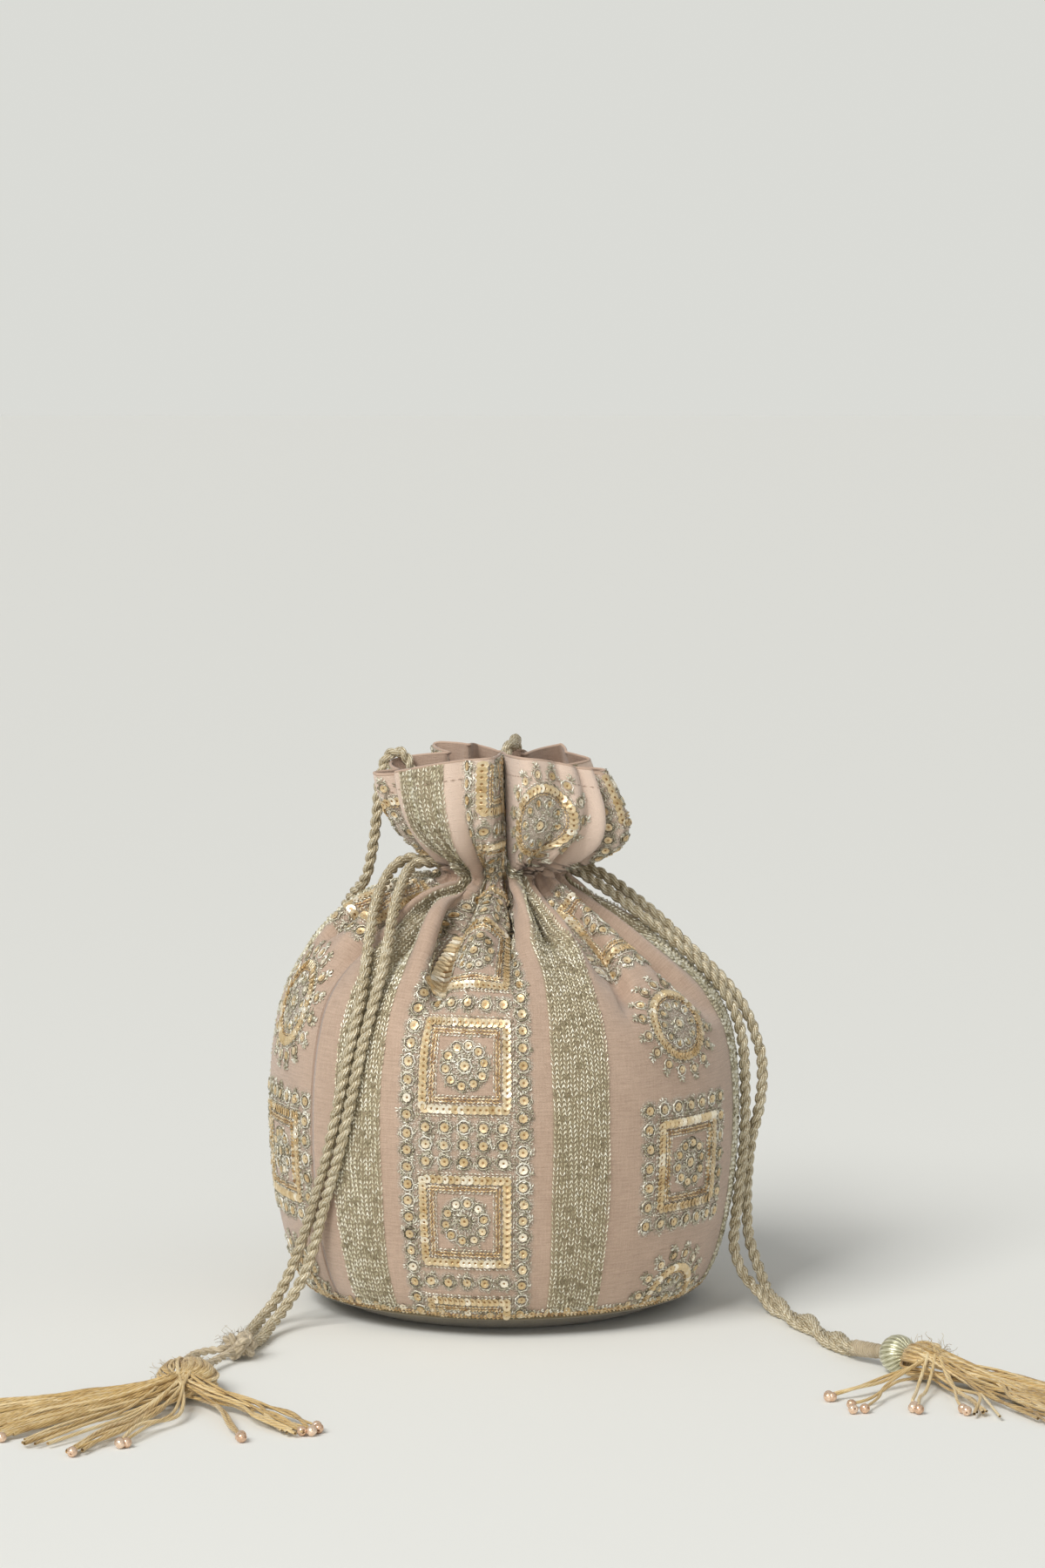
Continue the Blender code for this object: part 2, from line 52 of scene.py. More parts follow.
dice = np.random.default_rng(7)


def added(name, data):
    """A new object in the scene."""
    made = bpy.data.objects.new(name, data)
    bpy.context.scene.collection.objects.link(made)
    return made


# Camera
CAMERA_AT = (0.007, -1.585, 0.337)
CAMERA_DIP = 5.3
lens = bpy.data.cameras.new("camera")
lens.lens = 100
lens.sensor_width = 36
lens.clip_start = 0.05
camera = added("camera", lens)
camera.location = CAMERA_AT
camera.rotation_euler = (radians(90 - CAMERA_DIP), 0, 0)
bpy.context.scene.camera = camera
bpy.context.scene.view_settings.view_transform = "Standard"


# Finishes
class Value:
    """A node socket that takes part in ordinary sums."""

    def __init__(self, finish, socket):
        self.finish, self.socket = finish, socket

    def __add__(self, other):
        return self.finish.math("ADD", self, other)

    def __sub__(self, other):
        return self.finish.math("SUBTRACT", self, other)

    def __rsub__(self, other):
        return self.finish.math("SUBTRACT", other, self)

    def __mul__(self, other):
        return self.finish.math("MULTIPLY", self, other)

    __radd__ = __add__
    __rmul__ = __mul__


class Finish:
    """A material and the nodes that vary it."""

    def __init__(self, name, **constants):
        self.material = bpy.data.materials.new(name)
        self.material.use_nodes = True
        self.tree = self.material.node_tree
        self.shader = self.tree.nodes["Principled BSDF"]
        for socket, value in constants.items():
            self.shader.inputs[socket.replace("_", " ")].default_value = value

    def feed(self, socket, value):
        if isinstance(value, Value):
            self.tree.links.new(value.socket, socket)
        elif isinstance(value, tuple) and socket.type == "RGBA":
            socket.default_value = (*value, 1)
        else:
            socket.default_value = value

    def node(self, kind, settings, sockets, out=0):
        made = self.tree.nodes.new("ShaderNode" + kind)
        for name, value in settings.items():
            setattr(made, name, value)
        for name, value in sockets.items():
            self.feed(made.inputs[name], value)
        return Value(self, made.outputs[out])

    def math(self, operation, *values):
        return self.node("Math", {"operation": operation}, dict(enumerate(values)))

    def clamp(self, value):
        return self.node("Clamp", {}, {0: value})

    def mix(self, share, first, second):
        return self.node("Mix", {"data_type": "RGBA"}, {0: share, 6: first, 7: second}, 2)

    def attribute(self, name, out=2):
        return self.node("Attribute", {"attribute_name": name}, {}, out)

    def noise(self, where, scale, detail=3, stretch=(1, 1, 1)):
        spread = self.node("VectorMath", {"operation": "MULTIPLY"}, {0: where, 1: stretch})
        return self.node("TexNoise", {}, {"Vector": spread, "Scale": scale, "Detail": detail})

    def step(self, value, low, high):
        return self.node("MapRange", {"interpolation_type": "SMOOTHSTEP"},
            {0: value, 1: low, 2: high})

    def axis(self, value, number):
        return self.node("SeparateXYZ", {}, {0: value}, number)

    def where(self):
        return self.node("TexCoord", {}, {}, 3)

    def ramp(self, tone, stops):
        made = self.node("ValToRGB", {}, {0: tone})
        elements = made.socket.node.color_ramp.elements
        while len(elements) < len(stops):
            elements.new(0.5)
        for element, (place, colour) in zip(elements, stops):
            element.position = place
            element.color = (*colour, 1)
        return made

    def paint(self, colour=None, roughness=None, metallic=None, height=None, depth=0):
        given = {"Base Color": colour, "Roughness": roughness, "Metallic": metallic}
        for name, value in given.items():
            if value is not None:
                self.feed(self.shader.inputs[name], value)
        if height is not None:
            bump = self.node("Bump", {}, {"Height": height, "Distance": depth, "Strength": 1})
            self.feed(self.shader.inputs["Normal"], bump)
        return self.material


RUFFLE_PAINTED_LIGHT = (0.84, 0.67, 0.555)
HAZE_DARK, HAZE_BRIGHT = (0.44, 0.37, 0.265), (0.95, 0.91, 0.80)
BAND_GROUND = (0.36, 0.305, 0.19)
SEAM_SHADE = (0.22, 0.13, 0.10)
CORD_GLINT = (1, 0.96, 0.80)


def silk_finish(name, light, dark, worked=False):
    """Raw silk with slubs. Worked cloth has a haze of silver thread between its dots."""
    skin = Finish(name, Roughness=0.72, Sheen_Weight=0.35, Sheen_Roughness=0.45,
        Specular_IOR_Level=0.35)
    flat = skin.attribute("flat", 1)
    apart, up = skin.axis(flat, 0), skin.axis(flat, 1)
    slubs = skin.noise(flat, 0.9, 4, (0.16, 1.6, 1))
    ends = skin.noise(flat, 1.1, 3, (1.5, 0.12, 1))
    drift = skin.noise(flat, 0.035)
    nap = skin.noise(flat, 1.7)
    warp = skin.math("SINE", apart * 13.5)
    weft = skin.math("SINE", up * 12 + warp * 0.5)
    tone = skin.clamp(slubs * 1.1 + ends * 0.6 + drift * 0.8 + nap * 0.8 - 1.12)
    colour = skin.mix(tone, dark, light)
    height = warp * weft * 0.25 + slubs * 0.8 + ends * 0.4 + nap * 0.6
    if worked:
        # Above the neck the cloth is painted lighter, towards a pale rose: painted light on the
        # ruffle at the top of the bag.
        colour = skin.mix(skin.step(up, NECK_V, 215) * 0.7, colour, RUFFLE_PAINTED_LIGHT)
        haze, band = skin.attribute("haze"), skin.attribute("band")
        strands = skin.noise(flat, 1.9, 4)
        cover = skin.clamp(haze * skin.step(strands, 0.40, 0.52))
        gleam = skin.step(strands, 0.54, 0.60)
        from_seam = skin.math("MINIMUM", apart - SEAM_U, SEAM_U + CLOTH_W - apart)
        seam = skin.step(from_seam, 1.2, 0.3)
        colour = skin.mix(cover * 0.85, colour, skin.mix(gleam, HAZE_DARK, HAZE_BRIGHT))
        colour = skin.mix(band * 0.8, colour, BAND_GROUND)
        colour = skin.mix(seam * 0.45, colour, SEAM_SHADE)
        skin.paint(metallic=cover * 0.4 + band * 0.3, roughness=0.72 - cover * 0.3)
        height = height + cover * 1.6 - seam * 4
    return skin.paint(colour, height=height, depth=0.0002)


def metal_finish(name, roughness, metallic, flecks, stops):
    """Metal thread, sequins or beads: a colour for each piece's own shade, and fine flecks."""
    skin = Finish(name, Metallic=metallic, Roughness=roughness)
    grit = skin.noise(skin.where(), 900, 2)
    shade = skin.clamp(skin.attribute("shade") * 0.9 + (grit - 0.5) * flecks * 2.4)
    return skin.paint(skin.ramp(shade, stops), roughness + (grit - 0.5) * 0.3, height=grit,
        depth=0.00004)


def cord_finish():
    """Metallic thread laid diagonally around each ply."""
    skin = Finish("sage_cord", Metallic=0.35, Roughness=0.45)
    lay, where = skin.attribute("lay", 1), skin.where()
    around, along = skin.axis(lay, 0), skin.axis(lay, 1)
    threads = skin.math("SINE", around * 7 + along * 2.6) * 0.5 + 0.5
    fine = skin.math("SINE", around * 19 + along * 6.4) * 0.5 + 0.5
    drift = skin.noise(where, 240)
    glint = skin.step(skin.noise(where, 1500, 2), 0.52, 0.68)
    # The colour is darker where the threads dip and lighter on their crests, as the bump is:
    # painted shade and highlight; drift varies it at random.
    tone = skin.clamp(threads * 0.55 + fine * 0.25 + drift * 0.8 - 0.25)
    colour = skin.ramp(tone, (
        (0, (0.16, 0.11, 0.045)), (0.4, (0.47, 0.38, 0.23)), (0.75, (0.70, 0.61, 0.43)),
        (1, (0.90, 0.84, 0.68))))
    return skin.paint(skin.mix(glint * 0.7, colour, CORD_GLINT), 0.5 - glint * 0.25,
        height=threads + fine * 0.4, depth=0.00025)


def thread_finish(name, metallic, roughness, stops):
    """Fine fibres that run along a thread or around a winding."""
    skin = Finish(name, Metallic=metallic, Roughness=roughness, Sheen_Weight=0.3)
    lay = skin.attribute("lay", 1)
    around, along, own = (skin.axis(lay, number) for number in range(3))
    fibres = skin.math("SINE", around * 5 + along * 1.9 + own * 9) * 0.5 + 0.5
    drift = skin.noise(skin.where(), 150)
    # The colour is a little darker where the fibres dip, as the bump is: painted shade; drift and
    # each thread's own value vary it.
    tone = skin.clamp(fibres * 0.3 + drift * 0.7 + own * 0.5 - 0.3)
    return skin.paint(skin.ramp(tone, stops), height=fibres, depth=0.00008)


rose = silk_finish("rose_silk", (0.60, 0.44, 0.335), (0.375, 0.26, 0.185), True)
facing_skin = silk_finish("rose_facing", (0.56, 0.415, 0.32), (0.42, 0.29, 0.215))
# The base's dark olive is partly its own colour and partly painted shade, for the shadow under the
# bag.
dark_base_and_shade = silk_finish("base_cloth_and_shade", (0.20, 0.155, 0.085), (0.10, 0.08, 0.04))
satin = silk_finish("lining_satin", (0.58, 0.41, 0.34), (0.44, 0.29, 0.24))
zari = metal_finish("zari_stitch", 0.38, 0.25, 0.5, (
    (0, (0.20, 0.165, 0.085)), (0.3, (0.55, 0.49, 0.32)), (0.6, (0.80, 0.75, 0.57)),
    (1, (1, 0.98, 0.86))))
silver = metal_finish("silver_thread", 0.36, 0.35, 0.6, (
    (0, (0.15, 0.125, 0.07)), (0.35, (0.44, 0.40, 0.28)), (0.65, (0.72, 0.68, 0.55)),
    (1, (1, 0.98, 0.88))))
sequin_gold = metal_finish("sequin_gold", 0.36, 0.45, 0.2, (
    (0, (0.30, 0.16, 0.06)), (0.3, (0.58, 0.42, 0.21)), (0.65, (0.74, 0.60, 0.38)),
    (1, (0.95, 0.90, 0.76))))
orange = metal_finish("orange_braid", 0.4, 0.3, 0.5, (
    (0, (0.30, 0.16, 0.06)), (0.5, (0.66, 0.46, 0.22)), (1, (0.95, 0.84, 0.62))))
bead_metal = metal_finish("rose_gold_bead", 0.22, 0.6, 0.3, (
    (0, (0.52, 0.30, 0.18)), (0.5, (0.80, 0.56, 0.39)), (1, (0.97, 0.84, 0.70))))
sage = cord_finish()
tassel_gold = thread_finish("tassel_gold", 0.12, 0.5, (
    (0, (0.29, 0.16, 0.04)), (0.45, (0.67, 0.47, 0.19)), (1, (0.97, 0.84, 0.56))))
ball_zari = thread_finish("ball_zari", 0.5, 0.32, (
    (0, (0.22, 0.20, 0.09)), (0.5, (0.56, 0.55, 0.37)), (1, (0.95, 0.93, 0.76))))
beige_thread = thread_finish("beige_thread", 0, 0.75, (
    (0, (0.32, 0.25, 0.15)), (0.5, (0.64, 0.54, 0.385)), (1, (0.92, 0.83, 0.66))))


# The bag's shape, from the same values as the solids
SPANS = (
    ((72, 7.5), (81, 15), (85.8, 45), (85.8, 72)),
    ((85.8, 72), (85.8, 112), (76.6, 122.6), (60, 137)),
    ((60, 137), (41.2, 153.4), (23.5, 154.5), (23.5, 157.5)),
    ((23.5, 157.5), (31, 166), (50, 170), (43.5, 200)),
)
RUFFLE = 3
LEAN, RUFFLE_PUFF, RIM_TURN, RIM_FLAT, RIM_SADDLE, RIM_DIP = 6.5, 5, 4.5, 0.13, 4.5, 2
PLEAT, FOLD_FULL_Z, CREASE, FRONT_CREASE = 10.8, 148, 1.6, 1.3
FOLDS = np.array((
    (-19, -19, 98, 3), (4, 0, 120, 28), (20, 30, 136, 3), (35, 46, 106, 4),
    (64, 60, 104, 22), (82, 78, 136, 5), (99, 97, 110, 7), (119, 117, 132, 18),
    (139, 138, 110, 6), (160, 160, 130, 20), (181, 182, 110, 7), (202, 204, 130, 14),
    (223, 225, 112, 18), (250, 254, 125, 7), (270, 275, 110, 6), (289, 295, 128, 16),
    (306, 311, 110, 2), (324, 325, 112, 2)), dtype=float)
RIM_U = {0: -37, 1: 27, 2: 84, 3: 96, 5: 160, 15: 449, 16: 478.5, 17: 488, 18: 502}
FRONT_FOLD = ((0.15, 0), (0.72, -9), (1, 0), (1.28, 3), (1.64, 3.9), (2, 0))
BACK_RIM = ((115, 0), (133, 0.5), (148, 2.2), (163, -3), (183, -3.5), (197, 0), (212, 2.5),
    (232, 1.5), (250, 0))
TUCKS = (
    (-27.5, 112, -38, 174, 9, 4.4), (55, 110, 67, 168, 5.5, 4),
    (7, 150, 4, 186, 5, 3), (108, 100, 96, 142, 3.5, 8),
    (-70, 128, -60, 172, 3.5, 4), (150, 126, 140, 174, 5, 4.5),
    (205, 118, 214, 170, 6, 4.5), (262, 112, 254, 172, 6.5, 4.2),
    (318, 122, 326, 174, 5, 4), (372, 110, 364, 168, 5.5, 4.5),
    (428, 124, 436, 172, 4.5, 4),
)


def arc(line):
    """The length along a line at each of its points."""
    return np.append(0, np.cumsum(np.linalg.norm(np.diff(line, axis=0), axis=1)))


def short_way(off):
    """A distance around the bag, by the shorter way."""
    return np.mod(off + CLOTH_W / 2, CLOTH_W) - CLOTH_W / 2


def smooth(share):
    share = np.clip(share, 0, 1)
    return share * share * (3 - 2 * share)


def outline(span, t):
    a, b, c, d = (np.array(point) for point in SPANS[span])
    w = 1 - t
    place = w ** 3 * a + 3 * w * w * t * b + 3 * w * t * t * c + t ** 3 * d
    slope = w * w * (b - a) + 2 * w * t * (c - b) + t * t * (d - c)
    return place, slope / np.hypot(*slope)


def fold_depths(span, t):
    place, _ = outline(span, t)
    if span < RUFFLE:
        foot = FOLDS[:, 2]
        return PLEAT * smooth((place[1] - foot) / (FOLD_FULL_Z - foot))
    share = smooth(t * 1.25)
    return PLEAT * (1 - share) + FOLDS[:, 3] * share


def wall_ring(span, t, places):
    """Points of the wall at one height, in millimetres. A whole place is a fold's bottom."""
    (radius, height), (out, up) = outline(span, t)
    turn = smooth(t) if span == RUFFLE else 0
    angles = FOLDS[:, 0] + (FOLDS[:, 1] - FOLDS[:, 0]) * turn
    angles = np.append(angles, angles[0] + 360)
    low = np.floor(places).astype(int) % len(FOLDS)
    angle = np.radians(angles[low] + (angles[low + 1] - angles[low]) * (places - np.floor(places)))
    nearest = np.round(places).astype(int)
    crease = CREASE + FRONT_CREASE * turn * (nearest == 1)
    shape = (1 - 2 * np.abs(places - nearest)) ** crease
    depth = fold_depths(span, t)[nearest % len(FOLDS)] * shape
    if span == RUFFLE:
        radius = radius - depth
        radius = radius + np.sin(angle) * (RUFFLE_PUFF * sin(pi * t) - RIM_TURN * t ** 4)
        lobes = smooth((t - 0.5) * 2) * np.interp(np.degrees(angle), *np.transpose(BACK_RIM))
        height = height + turn * (RIM_SADDLE * np.cos(2 * angle) - RIM_DIP) + lobes
    else:
        lean = {1: smooth(t), 2: 1 - smooth(t)}.get(span, 0)
        radius = radius - up * depth
        height = height + out * depth - LEAN * lean * np.sin(angle)
    flat = 1 - RIM_FLAT * turn
    return np.stack([radius * np.sin(angle), -radius * np.cos(angle) * flat,
        height * np.ones_like(angle)], axis=1)


def rows_of_cloth(count):
    """Span and place in it for rows that are evenly spaced up the flat cloth."""
    fine = 80
    stops = [(span, t) for span in range(4) for t in np.linspace(0, 1, fine, endpoint=False)]
    stops.append((RUFFLE, 1))
    along = arc(np.array([outline(span, t)[0] for span, t in stops]))
    cloth = along + (CLOTH_H - along[-1]) * smooth((along - 150) / 60)
    rows = []
    for value in np.interp(np.linspace(0, CLOTH_H, count), cloth, np.arange(len(stops))):
        span = min(int(value // fine), RUFFLE)
        rows.append((span, value / fine - span))
    return rows


def lay_cloth(rows, flat_u):
    """The wall's points, for even steps of flat cloth, with the cloth that the folds take in."""
    steps = 28
    places = np.arange(len(FOLDS) * steps + 1) / steps
    slit = np.interp(places, *np.transpose(FRONT_FOLD))
    body = np.append(FOLDS[:, 0], FOLDS[0, 0] + 360) * PER_DEGREE
    rim_arc = arc(wall_ring(RUFFLE, 1, places))[::steps]
    known = list(RIM_U)
    rim_u = np.interp(rim_arc, rim_arc[known], [RIM_U[place] for place in known])
    grid = np.empty((len(rows), len(flat_u), 3))
    for number, (span, t) in enumerate(rows):
        along = arc(wall_ring(span, t, places))
        share = smooth(t / 0.3) if span == RUFFLE else 0
        where = np.interp(along, along[::steps], body + (rim_u - body) * share) + share * slit
        wrapped = where[0] + np.mod(flat_u - where[0], CLOTH_W)
        grid[number] = wall_ring(span, t, np.interp(wrapped, where, places))
    return grid


def outward(grid):
    """The cloth's outward direction at every point of a grid whose two sides meet."""
    wide = np.concatenate([grid[:, -2:-1], grid, grid[:, 1:2]], axis=1)
    across = (wide[:, 2:] - wide[:, :-2])
    upward = np.gradient(grid, axis=0)
    out = np.cross(across, upward)
    return out / (np.linalg.norm(out, axis=2, keepdims=True) + 1e-9)


def ripple(u, v, length, lean, seed):
    """Soft uneven waves that run up the cloth and meet themselves around it."""
    total = np.zeros_like(u)
    for k in range(4):
        waves = round(CLOTH_W / length * (0.7 + 0.2 * k))
        phase = sin(seed * 12.9 + k * 4.1) * 40
        bend = np.sin(v / (23 + 7 * k) + phase) * 0.9
        total += np.sin(ROUND * waves * (u + lean * v) / CLOTH_W + phase + bend)
    return total / 2.2


ROWS, COLUMNS = 181, 541
GATHER_BELOW, GATHER_REACH, GATHER_COUNT = 4, 15, 27
SHOULDER_V, SHOULDER_REACH = 150, 26
flat_u = SEAM_U + np.linspace(0, CLOTH_W, COLUMNS)
cloth_grid = lay_cloth(rows_of_cloth(ROWS), flat_u)
grid_u, grid_v = np.meshgrid(flat_u, np.linspace(0, CLOTH_H, ROWS))
gathers = np.exp(-((grid_v - NECK_V + GATHER_BELOW) / GATHER_REACH) ** 2)
shoulder = np.exp(-((grid_v - SHOULDER_V) / SHOULDER_REACH) ** 2)
frill = smooth((grid_v - NECK_V) / 30)
around = np.arctan2(cloth_grid[..., 0], -cloth_grid[..., 1])
pinched = np.abs(np.sin(GATHER_COUNT * around + 0.5 * np.sin(grid_v / 6 + 3 * around))) ** 0.8
relief = (gathers * 1.2 * ripple(grid_u, grid_v, 12, 0, 1)
          + gathers * 1.7 * (pinched - 0.6)
          + shoulder * 0.7 * ripple(grid_u, grid_v, 30, 0.05, 2)
          + frill * 0.45 * ripple(grid_u, grid_v, 34, 0.2, 3)
          + 0.22 * ripple(grid_u, grid_v, 60, -0.15, 4))
for foot_u, foot_v, head_u, head_v, depth, half in TUCKS:
    share = (grid_v - foot_v) / (head_v - foot_v)
    off = short_way(grid_u - foot_u - (head_u - foot_u) * share) / half
    window = smooth(share / 0.35) * smooth((1.15 - share) / 0.35)
    relief -= depth * window * np.exp(-np.abs(off) ** 2.6)
    relief += 0.3 * depth * window * np.exp(-(off + 2) ** 2)
cloth_grid += outward(cloth_grid) * relief[..., None]
cloth_out = outward(cloth_grid)


def on_cloth(u, v, lift):
    """Places in the room, in metres, of points of the flat cloth and what is sewn on it."""
    x = np.mod(u - SEAM_U, CLOTH_W) / CLOTH_W * (COLUMNS - 1)
    y = np.clip(v / CLOTH_H, 0, 1) * (ROWS - 1)
    i = np.minimum(x.astype(int), COLUMNS - 2)
    j = np.minimum(y.astype(int), ROWS - 2)
    fx, fy = (x - i)[..., None], (y - j)[..., None]

    def blend(field):
        low = field[j, i] * (1 - fx) + field[j, i + 1] * fx
        high = field[j + 1, i] * (1 - fx) + field[j + 1, i + 1] * fx
        return low * (1 - fy) + high * fy

    return (blend(cloth_grid) + blend(cloth_out) * lift[..., None]) * MM


# Meshes
def mesh_piece(name, points, faces, skin, values=None, rounded=True):
    """A piece from arrays of points and faces, riding on the bag."""
    mesh = bpy.data.meshes.new(name)
    mesh.from_pydata(points, [], faces.tolist(), shade_flat=not rounded)
    for key, field in (values or {}).items():
        kind, entry = ("FLOAT_VECTOR", "vector") if field.ndim == 2 else ("FLOAT", "value")
        data = mesh.attributes.new(key, kind, "POINT").data
        data.foreach_set(entry, field.astype(np.float32).ravel())
    mesh.materials.append(skin)
    mesh.validate()
    piece = added(name, mesh)
    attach(piece, "root")
    return piece


def grid_faces(high, wide):
    index = np.arange(high * wide).reshape(high, wide)
    return np.stack([index[:-1, :-1], index[:-1, 1:], index[1:, 1:], index[1:, :-1]],
        axis=-1).reshape(-1, 4)


def merge(parts):
    """Several (points, faces, shade) lots as one."""
    points, faces, shade, base = [], [], [], 0
    for where, corners, tone in parts:
        points.append(where)
        faces.append(corners + base)
        shade.append(tone)
        base += len(where)
    return np.vstack(points), np.vstack(faces), np.concatenate(shade)


# Cords and threads, in millimetres until a piece is made of them
def evenly(line, count):
    along = arc(line)
    stops = np.linspace(0, along[-1], count)
    return np.stack([np.interp(stops, along, line[:, axis]) for axis in range(3)], axis=1)


def smooth_path(points, step):
    """Points about one step apart on a smooth curve through the given points."""
    knots = np.array(points, dtype=float)
    knots = np.vstack([2 * knots[0] - knots[1], knots, 2 * knots[-1] - knots[-2]])
    t = np.linspace(0, 1, 12, endpoint=False)[:, None]
    fine = []
    for before, start, end, after in zip(knots, knots[1:], knots[2:], knots[3:]):
        fine.append(0.5 * (2 * start + (end - before) * t
            + (2 * before - 5 * start + 4 * end - after) * t ** 2
            + (3 * start - before - 3 * end + after) * t ** 3))
    fine = np.vstack(fine + [knots[-2:-1]])
    return evenly(fine, max(3, round(arc(fine)[-1] / step) + 1))


def directions(line):
    """The way along a line at each point, and two ways square to it that don't twist."""
    way = np.gradient(line, axis=0)
    way /= np.linalg.norm(way, axis=1, keepdims=True)
    side = np.empty_like(way)
    before = np.cross(way[0], (0.23, 0.31, 0.92))
    for k in range(len(line)):
        square_on = before - way[k] * np.dot(before, way[k])
        before = side[k] = square_on / np.linalg.norm(square_on)
    return way, side, np.cross(way, side)


def strand(line, radius, sides, own=0, ridges=(0, 0, 0)):
    """A thread along a line, with how its fibres lie: around it, along it, and its own shade."""
    _, side, up = directions(line)
    turn = np.linspace(0, ROUND, sides + 1)[None, :]
    along = arc(line)[:, None]
    number, lean, height = ridges
    reach = (np.zeros_like(along + turn) + np.reshape(radius, (-1, 1))
             + height * np.cos(number * turn + lean * along))
    points = line[:, None] + reach[..., None] * (np.cos(turn)[..., None] * side[:, None]
        + np.sin(turn)[..., None] * up[:, None])
    lay = np.stack([turn + 0 * along, along + 0 * turn, own + 0 * reach], axis=-1)
    return points.reshape(-1, 3), grid_faces(len(line), sides + 1), lay.reshape(-1, 3)


def plies(line, diameter, pitch, phase=0):
    """The two plies of a twisted cord along a line."""
    _, side, up = directions(line)
    made = []
    for ply in (0, 1):
        turn = (phase + ply * pi + arc(line) * ROUND / pitch)[:, None]
        middle = line + 0.235 * diameter * (np.cos(turn) * side + np.sin(turn) * up)
        ridges = (4, 6.4 / diameter, 0.022 * diameter)
        made.append(strand(middle, 0.30 * diameter, 12, ply * 0.3, ridges))
    return made


def thread_piece(name, lots, skin):
    points, faces, lay = merge(lots)
    return mesh_piece(name, points * MM, faces, skin, {"lay": lay})


# What is sewn on: each kind of stitch is one small shape, set down many times
def ring_points(rings, steps):
    """Points on rings around an axis, from radii and heights."""
    turn = np.arange(steps) * ROUND / steps
    return np.vstack([np.stack([radius * np.cos(turn), radius * np.sin(turn),
        np.full(steps, height)], axis=1) for radius, height in rings])


def ring_faces(low, high, steps):
    """Quads between two rings of points, given by their numbers."""
    return [(low * steps + k, low * steps + (k + 1) % steps,
             high * steps + (k + 1) % steps, high * steps + k) for k in range(steps)]


def cap_faces(steps):
    """Quads that close a first ring of points."""
    return [(k, k + 1, k + 2, steps - 1) for k in range(0, steps - 3, 2)]


def ring_shape(radius, thread, steps, curl):
    """A curly ring of thread, three-sided."""
    wave = np.cos(np.arange(steps) * ROUND / steps * 7)
    rings, faces = [], []
    for side in range(3):
        tilt = side * ROUND / 3 + pi / 2
        out = radius + thread * cos(tilt) + curl * wave
        rings.append((out, thread * (0.9 + sin(tilt))))
        faces += ring_faces(side, (side + 1) % 3, steps)
    return ring_points(rings, steps), np.array(faces), np.tile(1 + 0.35 * wave, 3)


def sequin_shape(radius, hole, steps):
    """A cupped sequin, and the dark thread knot in its hole."""
    rings = ((hole, 0.22), (hole, 0.22), (hole * 1.5, 0.40), (radius, 0.60), (radius * 0.97, 0.25))
    faces = cap_faces(steps)
    for low in range(1, len(rings) - 1):
        faces += ring_faces(low, low + 1, steps)
    return ring_points(rings, steps), np.array(faces), np.repeat((0, 1, 1, 1, 1), steps)


def stitch_shape(length, width, thick):
    """One link of chain stitch: two leaning strands that meet at its foot."""
    points, faces = [], []
    for side in (-1, 1):
        foot = np.array([0, 0, thick * 0.4])
        head = np.array([length, side * width * 0.34, thick * 0.4])
        middle = (foot + head) / 2 + np.array([0, side * width * 0.16, 0])
        ring = [middle + np.array([0, side * thick * 0.55, 0.1 * thick]),
                middle + np.array([0, 0, thick * 1.1]),
                middle + np.array([0, -side * thick * 0.55, 0.1 * thick])]
        base = len(points)
        points += [foot, head] + ring
        for a, b in ((0, 1), (1, 2)):
            faces += [(base, base + 2 + a, base + 2 + b), (base + 1, base + 2 + b, base + 2 + a)]
    # Each strand is lighter along its top and darker at its sides, foot and head: painted
    # highlight and shade.
    return np.array(points), np.array(faces), np.tile([0.55, 0.6, 0.65, 1.25, 0.65], 2)


def sew(shape, spots, tones):
    """Sets a shape down at every spot (u, v, turn, size, lift, tilt u, tilt v) of the cloth."""
    points, faces, weight = shape
    spots = np.asarray(spots, dtype=float)
    keep = (spots[:, 1] > 1.2) & (spots[:, 1] < CLOTH_H - 0.8)
    spots, tones = spots[keep], np.asarray(tones)[keep]
    turn, size = np.radians(spots[:, 2])[:, None], spots[:, 3][:, None]
    x, y, z = (points[:, axis][None, :] * size for axis in range(3))
    du = x * np.cos(turn) - y * np.sin(turn)
    dv = x * np.sin(turn) + y * np.cos(turn)
    lift = z + spots[:, 4][:, None] + du * spots[:, 5][:, None] + dv * spots[:, 6][:, None]
    room = on_cloth(spots[:, 0][:, None] + du, spots[:, 1][:, None] + dv, lift)
    count = len(spots)
    corners = faces[None] + (np.arange(count) * len(points))[:, None, None]
    return (room.reshape(-1, 3), corners.reshape(-1, faces.shape[1]),
            (tones[:, None] * weight[None]).ravel())


def tones(count, centre=0.5, spread=0.18, glints=0.08):
    """A shade for each piece, with a few that catch the light."""
    value = dice.normal(centre, spread, count)
    value[dice.random(count) < glints] = 1
    return np.clip(value, 0, 1)


def jitter(spots, shift=0.12, tilt=0.10):
    spots = np.array(spots, dtype=float)
    spots[:, :2] += dice.normal(0, shift, (len(spots), 2))
    spots[:, 5:7] += dice.normal(0, tilt, (len(spots), 2))
    return spots


def leaning(spots):
    """Sequins that overlap along their line, each on the edge of the one before."""
    spots = np.array(spots, dtype=float)
    turn = np.radians(spots[:, 2])
    spots[:, 4] += 0.15
    spots[:, 5] -= 0.2 * np.cos(turn)
    spots[:, 6] -= 0.2 * np.sin(turn)
    return spots


# The pattern on the flat cloth
COLUMN_A = [angle * PER_DEGREE for angle in (-9, 111, 231)]
COLUMN_B = [angle * PER_DEGREE for angle in (51, 171, 291)]
BANDS = [angle * PER_DEGREE for angle in (-37, 19, 83, 139, 203, 259)]
A_FRAMES = (-6.5, 39, 94, 138.5, 195, 239.5)
B_SUNS = (3, 107, 220)
B_FRAMES = (55, 159)
HALF, EDGE = 17.5, 20.8
DOT_PITCH, DOT_STEP = 6.1, 6.93
NARROW_GAP = 50

